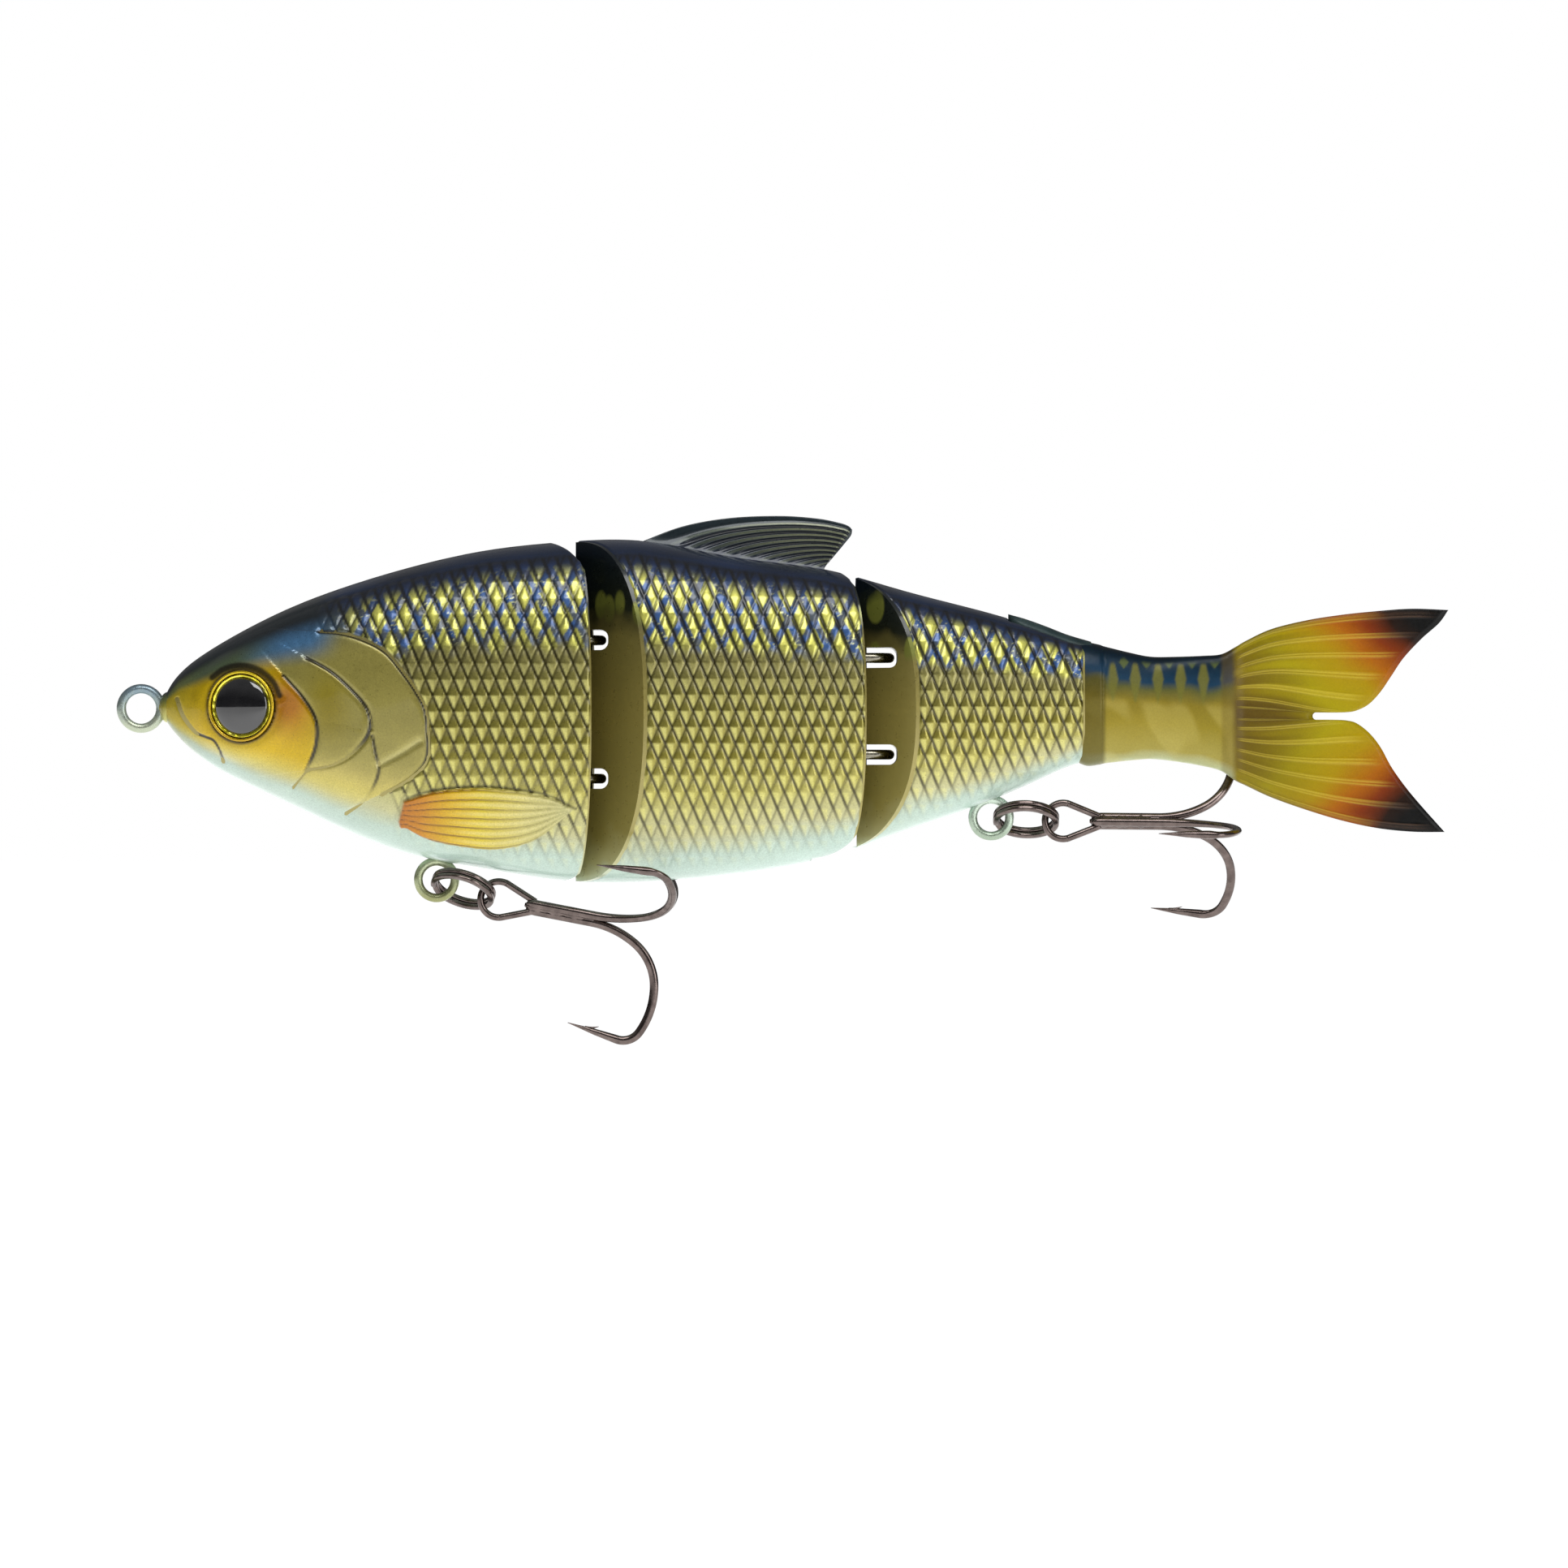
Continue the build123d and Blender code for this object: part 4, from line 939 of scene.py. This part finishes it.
def dorsal_fin():
    """A blade with curved ray grooves that rise from its root and run back to its trailing edge."""
    rows, columns = 150, 190
    along = np.linspace(0, 1, columns)
    top = spline(FIN_TOP, columns)
    chord = top[0] + (top[-1] - top[0]) * along[:, None]
    share = np.linspace(0, 1, rows)

    def on_line(line, at):
        return np.stack([np.interp(at, np.linspace(0, 1, 400), k) for k in spline(line, 400).T], -1)

    starts, ends = on_line(FIN_ROOT, share * 0.985), on_line(FIN_TRAILING, share)
    starts[0] = top[0]
    whole = np.linalg.norm(top[-1] - top[0])
    sheet = []
    for t, start, end in zip(share, starts, ends):
        blend = smooth(0.0, 0.08, t)
        start = top[0] * (1 - blend) + start * blend
        line = start + (end - start) * along[:, None]
        sheet.append(line + (top - chord) * np.linalg.norm(end - start) / whole * (1 - 0.25 * t))
    sheet = np.array(sheet)
    x, z = sheet[..., 0], sheet[..., 1]
    ray = np.abs((share * FIN_RAYS) % 1 - 0.5)[:, None] * np.ones(columns)
    groove = 1 - smooth(0.05, 0.3, ray)
    edge = np.minimum(share[:, None] * 6.0, (1 - along)[None, :] * 30.0)
    back = np.interp(x, *FIN_FOOT)
    thick = 0.30 + 0.5 * smooth(0.0, 1.2, edge) + 0.7 * np.exp(-np.maximum(z - back, 0) / 1.1)
    thick = thick - 0.26 * groove * smooth(0.1, 0.9, edge) * smooth(0.3, 2.0, z - back)
    thick = np.maximum(thick * smooth(-0.01, 0.06, edge), 0.05)
    # The ray ridges are paler and the grooves darker: partly the fin's own colour, partly painted highlights
    # on the ridges and painted shade in the grooves.
    colour = mix(srgb(22, 34, 42), srgb(80, 88, 74), smooth(0.24, 0.46, ray))
    colour = mix(colour, srgb(5, 9, 15), 0.9 * groove)
    colour = mix(colour, srgb(134, 136, 98), 0.5 * smooth(88, 108, x) * smooth(0.24, 0.46, ray))
    colour = mix(colour, srgb(16, 30, 52), 0.95 * np.exp(-np.maximum(z - back, 0) / 1.6))
    colour = mix(colour, srgb(28, 40, 46), 1 - smooth(0.2, 0.7, edge))
    paint = painted(colour, 0.35)
    size = rows * columns
    faces = grid_faces(rows, columns, flip=True) + grid_faces(rows, columns, first=size)
    index = np.arange(size).reshape(rows, columns)
    border = np.concatenate([index[0], index[1:, -1], index[-1, -2::-1], index[-2:0:-1, 0]])
    faces += rim_faces(zip(border, np.roll(border, -1)), size)
    make_mesh("dorsal_fin_blade", sheet_with_back(x, z, thick), faces, PAINT, np.stack([paint, paint]),
              "middle", "dorsal_fin", ["dorsal_fin"])


dorsal_fin()

# ---------------------------------------------------------------- soft tail

# The stalk by height, from -1 to 1, and the fin by fin_reach
STALK_PAINT = [(-1.0, 182, 188, 146), (-0.8, 156, 144, 68), (-0.3, 142, 126, 38), (0.1, 126, 110, 30),
               (0.35, 86, 86, 42), (0.5, 20, 52, 76), (0.85, 7, 30, 44), (1.0, 5, 18, 26)]
TAIL_FIN_PAINT = [(174.0, 88, 70, 8), (180.0, 118, 100, 4), (190.0, 154, 140, 2), (198.0, 156, 128, 0),
                  (204.0, 156, 88, 0), (208.5, 116, 44, 0), (213.0, 30, 14, 4), (216.5, 6, 6, 5)]


def tail_profile_at(x):
    """The soft tail's top, bottom and half width at each x."""
    return [np.interp(x, *spline(TAIL_PROFILE[:, [0, k]], 500).T) for k in (1, 2, 3)]


def fin_reach(x, z):
    """Distance from the nose, counted further out with the distance above or below the fork's slit."""
    return x + np.abs(z - SLIT_END[1])


def tail_colour(points, share):
    """Gold stalk with a blue back and gold lozenges, then an amber fin with orange and black tips."""
    x, z = points[..., 0], points[..., 2]
    top, bottom, _ = tail_profile_at(x)
    height = (z - (top + bottom) / 2) / ((top - bottom) / 2)
    stalk = ramp(height + 0.08 * (noise(points, 4.0, 51) - 0.5), STALK_PAINT)
    phase = (x - 153.7) / 3.6
    mark_x = (phase + 0.5) % 1 - 0.5
    lens = smooth(0.30, 0.2, np.abs(mark_x) + 0.16 * np.abs(z - 4.6) / 2.6)
    row = smooth(0.02, 0.12, height) * smooth(0.92, 0.8, height)
    row = row * smooth(152.5, 153.5, x) * smooth(171.5, 170.5, x)
    stalk = mix(stalk, srgb(104, 102, 40), 0.85 * lens * row * smooth(7.6, 6.6, z))
    small = smooth(0.26, 0.16, np.abs((phase % 1) - 0.5) + 0.2 * np.abs(z - 7.3))
    stalk = mix(stalk, srgb(84, 94, 44), 0.8 * small * row)
    cloud = smooth(0.4, 0.7, noise(points, 5.5, 73)) * smooth(0.2, 0.0, height)
    stalk = mix(stalk, srgb(186, 172, 92), 0.3 * cloud)
    stalk = mix(stalk, srgb(74, 66, 20), 0.7 * smooth(152.9, 152.1, x) * smooth(0.6, 0.4, height))
    band = smooth(170.6, 171.4, x) * smooth(174.2, 172.8, x)
    stalk = mix(stalk, srgb(92, 74, 20), 0.4 * band)

    out, from_slit = fin_reach(x, z), z - SLIT_END[1]
    fin = ramp(out + 1.6 * (noise(points, 5.0, 61) - 0.5), TAIL_FIN_PAINT)
    core = np.exp(-(from_slit / 2.2) ** 2) * smooth(190.0, 178.0, x)
    streak = smooth(0.4, 0.7, noise(np.stack([x * 0.1, np.sign(from_slit) * 9, share * 30], -1), 5.0, 77))
    fin = mix(fin, srgb(78, 58, 4), np.clip(0.6 * core + 0.5 * streak * smooth(190.0, 176.0, x), 0, 0.8))
    leading = np.minimum(top - z, z - bottom)
    fin = mix(fin, srgb(84, 66, 20), 0.6 * smooth(1.6, 0.2, leading) * smooth(172.0, 178.0, x) * (out < 212))
    fringe = smooth(2.2, 0.2, leading) * smooth(181.0, 190.0, x) * smooth(214, 208, out)
    fin = mix(fin, srgb(160, 84, 14), 0.5 * fringe)
    return mix(stalk, fin, smooth(172.4, 173.6, x))


def tail_lobe(edge, sign, rows, columns):
    """One half of the tail, from its middle line to its upper or lower edge."""
    fork = spline(edge[::-1], rows - 6)
    turn = np.linspace(math.pi, math.pi / 2, 7)[:-1]
    round_end = SLIT_END + SLIT_R * np.stack([1 + np.cos(turn), sign * np.sin(turn)], -1)
    fork = np.vstack([round_end, fork])
    share = np.linspace(0, 1, rows)
    reach = np.linspace(0, 1, columns)
    sheet = np.zeros((rows, columns, 2))
    start = TAIL_PROFILE[0, 0]
    for j, (t, end) in enumerate(zip(share, fork)):
        x = start + (end[0] - start) * reach
        top, bottom, _ = tail_profile_at(x)
        limit = top if sign > 0 else bottom
        middle_line = np.interp(x, [start, 165, 185.5], [1.0, -0.4, SLIT_END[1]])
        share_end = (end[1] - SLIT_END[1]) / (np.interp(end[0], x, limit) - SLIT_END[1])
        settle = smooth(0.45, 1.0, reach)
        level = t * (1 - settle) + np.clip(share_end, 0, 1) * settle
        sheet[j, :, 0] = x
        sheet[j, :, 1] = middle_line + (limit - middle_line) * level
        sheet[j, -1] = end
    return sheet


def soft_tail():
    """The whole soft tail, stalk and fin, as one closed mesh."""
    rows, columns = 104, 215
    sheets = [tail_lobe(FORK_UPPER, 1, rows, columns), tail_lobe(FORK_LOWER, -1, rows, columns)]
    points, paints, faces = [], [], []
    for sign, sheet in zip((1, -1), sheets):
        x, z = sheet[..., 0], sheet[..., 1]
        top, bottom, half = tail_profile_at(x)
        height = np.clip((z - (top + bottom) / 2) / ((top - bottom) / 2), -1, 1)
        power = np.interp(x, [160, 176, 190], [2.4, 5.0, 9.0])
        share = np.linspace(0, 1, rows)[:, None] * np.ones(columns)
        thick = half * (1 - np.abs(height) ** power) ** (1 / power)
        to_end = np.hypot(x - x[:, -1:], z - z[:, -1:])
        thick = thick * smooth(-0.35, 1.1, to_end) ** 0.7
        slit = np.where(x > SLIT_END[0], smooth(-0.02, 0.05, share), 1.0)
        thick = np.maximum(thick * (0.35 + 0.65 * slit), 0.05)
        rays = 0.5 - np.abs((share * 7.0 + 0.25) % 1 - 0.5)
        line = (1 - smooth(0.02, 0.07, np.abs(rays - 0.08))) * smooth(173.2, 174.4, x)
        line *= smooth(0.4, 5.0, to_end) * smooth(0.05, 0.12, share) * smooth(1.0, 0.95, share)
        thick = thick + 0.12 * line
        stalk_ridge = 0.10 * smooth(151.9, 152.1, x) * smooth(152.5, 152.3, x)
        thick = np.where(x < 172, thick - stalk_ridge, thick)
        both_sides = sheet_with_back(x, z, thick)
        out = fin_reach(x, z)
        colour = tail_colour(both_sides[0], share)
        colour = mix(colour, srgb(206, 184, 66), 0.42 * line * smooth(214, 206, out))
        colour = mix(colour, srgb(96, 74, 60), 0.5 * line * smooth(206, 214, out))
        paint = painted(colour, 0.15 * smooth(173, 171, x) * smooth(-0.9, -0.5, height))
        size, first = rows * columns, sum(p.size // 3 for p in points)
        points.append(both_sides)
        paints.append(np.stack([paint, paint]))
        index = first + np.arange(size).reshape(rows, columns)
        faces += grid_faces(rows, columns, flip=sign < 0, first=first)
        faces += grid_faces(rows, columns, flip=sign > 0, first=first + size)
        inner = np.flatnonzero(x[0] >= SLIT_END[0] - 0.5)[0]
        border = np.concatenate([index[0, inner:], index[1:, -1], index[-1, -2::-1], index[-2:0:-1, 0]])
        quads = rim_faces(zip(border, border[1:]), size)
        faces += quads if sign < 0 else [q[::-1] for q in quads]
    tail = make_mesh("soft_tail", np.concatenate([p.reshape(-1, 3) for p in points]), faces, SOFT,
                     np.concatenate([p.reshape(-1, 4) for p in paints]), None, "tail_translucent",
                     ["tail_peduncle", "tail_fin"])
    weld(tail)
    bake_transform(tail)


soft_tail()


def tail_tongue():
    """The soft tail's tongue, which lies along the top of the rear section."""
    rows, columns = 26, 70
    top = spline(TONGUE_TOP, columns)
    turn = np.linspace(0, 2 * math.pi, rows, endpoint=False)
    share = np.linspace(0, 1, columns)
    taper = 0.12 + 0.88 * np.sqrt(np.clip(share * 5.0, 0, 1))
    across = rounded(np.cos(turn), 0.7)[:, None] * taper
    upward = rounded(np.sin(turn), 0.7)[:, None] * np.ones(columns)
    y = TONGUE_HALF_WIDTH * across
    z = top[:, 1] + TONGUE_DEPTH * (upward - 1) - 0.25 * (y / TONGUE_HALF_WIDTH) ** 2
    points = np.stack([np.broadcast_to(top[:, 0], y.shape), y, z], -1).transpose(1, 0, 2)
    paint = painted(mix(srgb(26, 40, 42), srgb(58, 74, 74), noise(points, 3.0, 71)), 0.1)
    weld(make_mesh("tail_tongue", points, capped_faces(columns, rows), SOFT, paint, "rear", "tail_painted"))


tail_tongue()

# ---------------------------------------------------------------- split rings and treble hooks


def rig_axes(end):
    """The ring's crossing with its hanger, its crossing with its hook, and the way between them."""
    spots = {j["name"]: np.array(j["pos_m"]) / MM for j in frame["joints"] if "pos_m" in j}
    hanger, hook = spots[f"{end}_ring_swing"], spots[f"{end}_hook_swing"]
    return hanger, hook, (hook - hanger) / np.linalg.norm(hook - hanger)


def split_ring(end):
    """Two close coils of flattened wire, stepped where one runs over into the other."""
    hanger, hook, along = rig_axes(end)
    lift = np.array([-along[2], 0, along[0]])
    tilt = math.radians(RING_TILT)
    across = lift * math.cos(tilt) - np.array([0, 1, 0]) * math.sin(tilt)
    axis = np.cross(along, across)
    centre, radius = (hanger + hook) / 2, np.linalg.norm(hook - hanger) / 2
    turn = np.radians(np.linspace(*RING_TURN, 260))
    step = smooth(*np.radians(RING_STEP), turn) - 0.5
    path = centre + radius * (np.cos(turn)[:, None] * along + np.sin(turn)[:, None] * across)
    path = path + step[:, None] * RING_COIL_GAP * axis
    sides = 28
    around = np.linspace(0, 2 * math.pi, sides, endpoint=False)
    wide = RING_WIRE[0] / 2 * rounded(np.cos(around), 0.6)[:, None]
    thick = RING_WIRE[1] / 2 * rounded(np.sin(around), 0.6)[:, None]
    rings = []
    for point, angle in zip(path, turn):
        outward = math.cos(angle) * along + math.sin(angle) * across
        rings.append(point + wide * outward + thick * axis)
    weld(make_mesh(f"split_ring_{end}_coils", np.vstack(rings), capped_faces(len(path), sides), BLACK_NICKEL,
                   None, f"{end}_ring", "black_nickel", [f"split_ring_{end}"]))


def prong_line():
    """One prong as (along the shank, out from it), where its point begins, and the point's heading."""
    place, heading = np.array([HOOK_PRONG_FROM, HOOK_PRONG_R]), 0.0
    line = [place + (s, 0) for s in np.linspace(0, HOOK_PRONG_STRAIGHT - HOOK_PRONG_FROM, 22)]
    place = line[-1]
    for radius, turn in HOOK_BENDS:
        steps = turn // 2
        for _ in range(steps):
            heading += math.radians(turn) / steps / 2
            place = place + radius * math.radians(turn) / steps * toward(heading)
            heading += math.radians(turn) / steps / 2
            line.append(place)
    bend_end = len(line)
    line += [place + share * HOOK_POINT * toward(heading) for share in np.linspace(0, 1, 40)[1:]]
    return np.array(line), bend_end, heading


def treble_hook(end):
    """An eye, three brazed wires and their barbed points."""
    _, hook, _ = rig_axes(end)
    slope, roll = [math.radians(angle) for angle in HOOKS[end]]
    shank_down = np.array([-math.sin(slope), 0, -math.cos(slope)])
    along = np.array([math.cos(slope), 0, -math.sin(slope)])
    origin = hook - along * HOOK_RING_S
    sideways = np.array([0, 1.0, 0])
    line, bend_end, heading = prong_line()
    count = len(line)
    radii = np.full(count, HOOK_WIRE_R)
    tapering = np.linspace(0, 1, count - bend_end)
    radii[bend_end:] = np.interp(tapering, [0, 0.45, 1], [HOOK_WIRE_R, 0.5, 0.05])
    radii[:3] *= (0.35, 0.75, 0.95)
    forged = smooth(22, 40, np.arange(count)) * smooth(bend_end + 4, bend_end - 14, np.arange(count))
    back = -toward(heading)
    inward = np.array([back[1], -back[0]])
    barb = spline([line[-1] + back * b + inward * i for b, i in HOOK_BARB], 12)

    def placed(shape, out):
        return origin + shape[:, :1] * along + shape[:, 1:] * out

    parts = []
    for turn in (0, 120, 240):
        angle = roll + math.radians(turn)
        out = shank_down * math.cos(angle) + sideways * math.sin(angle)
        flat_axis = np.cross(along, out)
        parts.append(tube(placed(line, out), radii, 20, 1 - 0.26 * forged, flat_axis))
        parts.append(tube(placed(barb, out), np.linspace(0.34, 0.04, 12), 14, 0.7, flat_axis))
    eye_x, half = HOOK_EYE_R + HOOK_EYE_WIRE_R, HOOK_PRONG_R
    gap = math.hypot(HOOK_EYE_END - eye_x, half)
    touch = math.atan2(half, HOOK_EYE_END - eye_x) + math.acos(HOOK_EYE_R / gap)
    arc = np.linspace(touch, 2 * math.pi - touch, 60)
    eye = [(HOOK_EYE_END, half)]
    eye += [(eye_x + HOOK_EYE_R * math.cos(a), HOOK_EYE_R * math.sin(a)) for a in arc]
    eye += [(HOOK_EYE_END, -half)]
    parts.append(tube(placed(spline(eye, 110), shank_down), HOOK_EYE_WIRE_R, 18))
    brazing = np.linspace(*HOOK_BRAZING, 40)
    swell = 0.96 + 0.08 * np.sin(brazing * 2.1) + 0.05 * np.sin(brazing * 5.3)
    swell *= smooth(7.2, 8.6, brazing) * smooth(18.9, 16.8, brazing) * 0.9 + 0.1
    parts.append(tube(origin + brazing[:, None] * along, swell, 22))
    weld(make_mesh(f"treble_hook_{end}_wires", *joined(parts), BLACK_NICKEL, None, f"{end}_hook",
                   "black_nickel", [f"treble_hook_{end}"]))


for end in ("front", "rear"):
    split_ring(end)
    treble_hook(end)

# ---------------------------------------------------------------- floor, light and camera


def floor():
    """A plain pale floor that glows a little, so that it stays even."""
    f = Finish("floor_pale", Base_Color=(0.85, 0.85, 0.85, 1), Roughness=0.9, Specular_IOR_Level=0.0,
               Emission_Color=(1, 1, 1, 1), Emission_Strength=FLOOR_GLOW)
    corners = [(-1, -1, 0), (1, -1, 0), (1, 1, 0), (-1, 1, 0)]
    points = np.array(corners) * FLOOR_HALF + (0, 0, FLOOR_Z)
    make_mesh("floor", points, [(0, 1, 2, 3)], f.material)


def studio():
    """A bright room above and below with a dark band at the horizon, which gives the lacquer its contrast."""
    world = bpy.data.worlds.new("studio")
    bpy.context.scene.world = world
    world.use_nodes = True
    n = Nodes(world.node_tree)
    direction = n.add("SeparateXYZ", None, Vector=n.add("TexCoord").outputs["Generated"])
    stops = [(position, [level * ROOM_LEVEL] * 3) for position, level in ROOM_BANDS]
    bands = n.colours(n.between(direction.outputs[2], -1, 1), stops)
    white_to_camera = n.blend(n.add("LightPath").outputs["Is Camera Ray"], bands, (1, 1, 1))
    n.tree.links.new(white_to_camera, n.tree.nodes["Background"].inputs[0])


def softbox(name, place, size, power, glints=True, target=(0.1, 0, 0)):
    """An area lamp aimed at the fish, its place and size in metres. glints lets it show in the gloss."""
    lamp = bpy.data.lights.new(name, "AREA")
    lamp.shape = "RECTANGLE"
    lamp.size, lamp.size_y = size
    lamp.energy = power
    light = bpy.data.objects.new(name, lamp)
    light.location = place
    light.visible_glossy = glints
    light.rotation_euler = (Vector(target) - Vector(place)).to_track_quat("-Z", "Y").to_euler()
    bpy.context.scene.collection.objects.link(light)


def camera():
    """A long lens square to the fish's left side."""
    lens = bpy.data.cameras.new("camera")
    lens.lens, lens.sensor_width = LENS, SENSOR
    eye = bpy.data.objects.new("camera", lens)
    eye.location = (VIEW_CENTRE[0] * MM, -VIEW_WIDTH * MM * LENS / SENSOR, VIEW_CENTRE[1] * MM)
    eye.rotation_euler = (math.pi / 2, 0, 0)
    bpy.context.scene.collection.objects.link(eye)
    bpy.context.scene.camera = eye


floor()
studio()
softbox("softbox_above", (0.12, -0.34, 0.42), (0.4, 0.22), 1.5)
softbox("softbox_right", (0.55, -0.45, 0.12), (0.25, 0.4), 1.1)
softbox("softbox_behind", (0.05, 0.5, 0.3), (0.5, 0.3), 0.9, glints=False)
camera()
bpy.context.scene.view_settings.view_transform = "Standard"
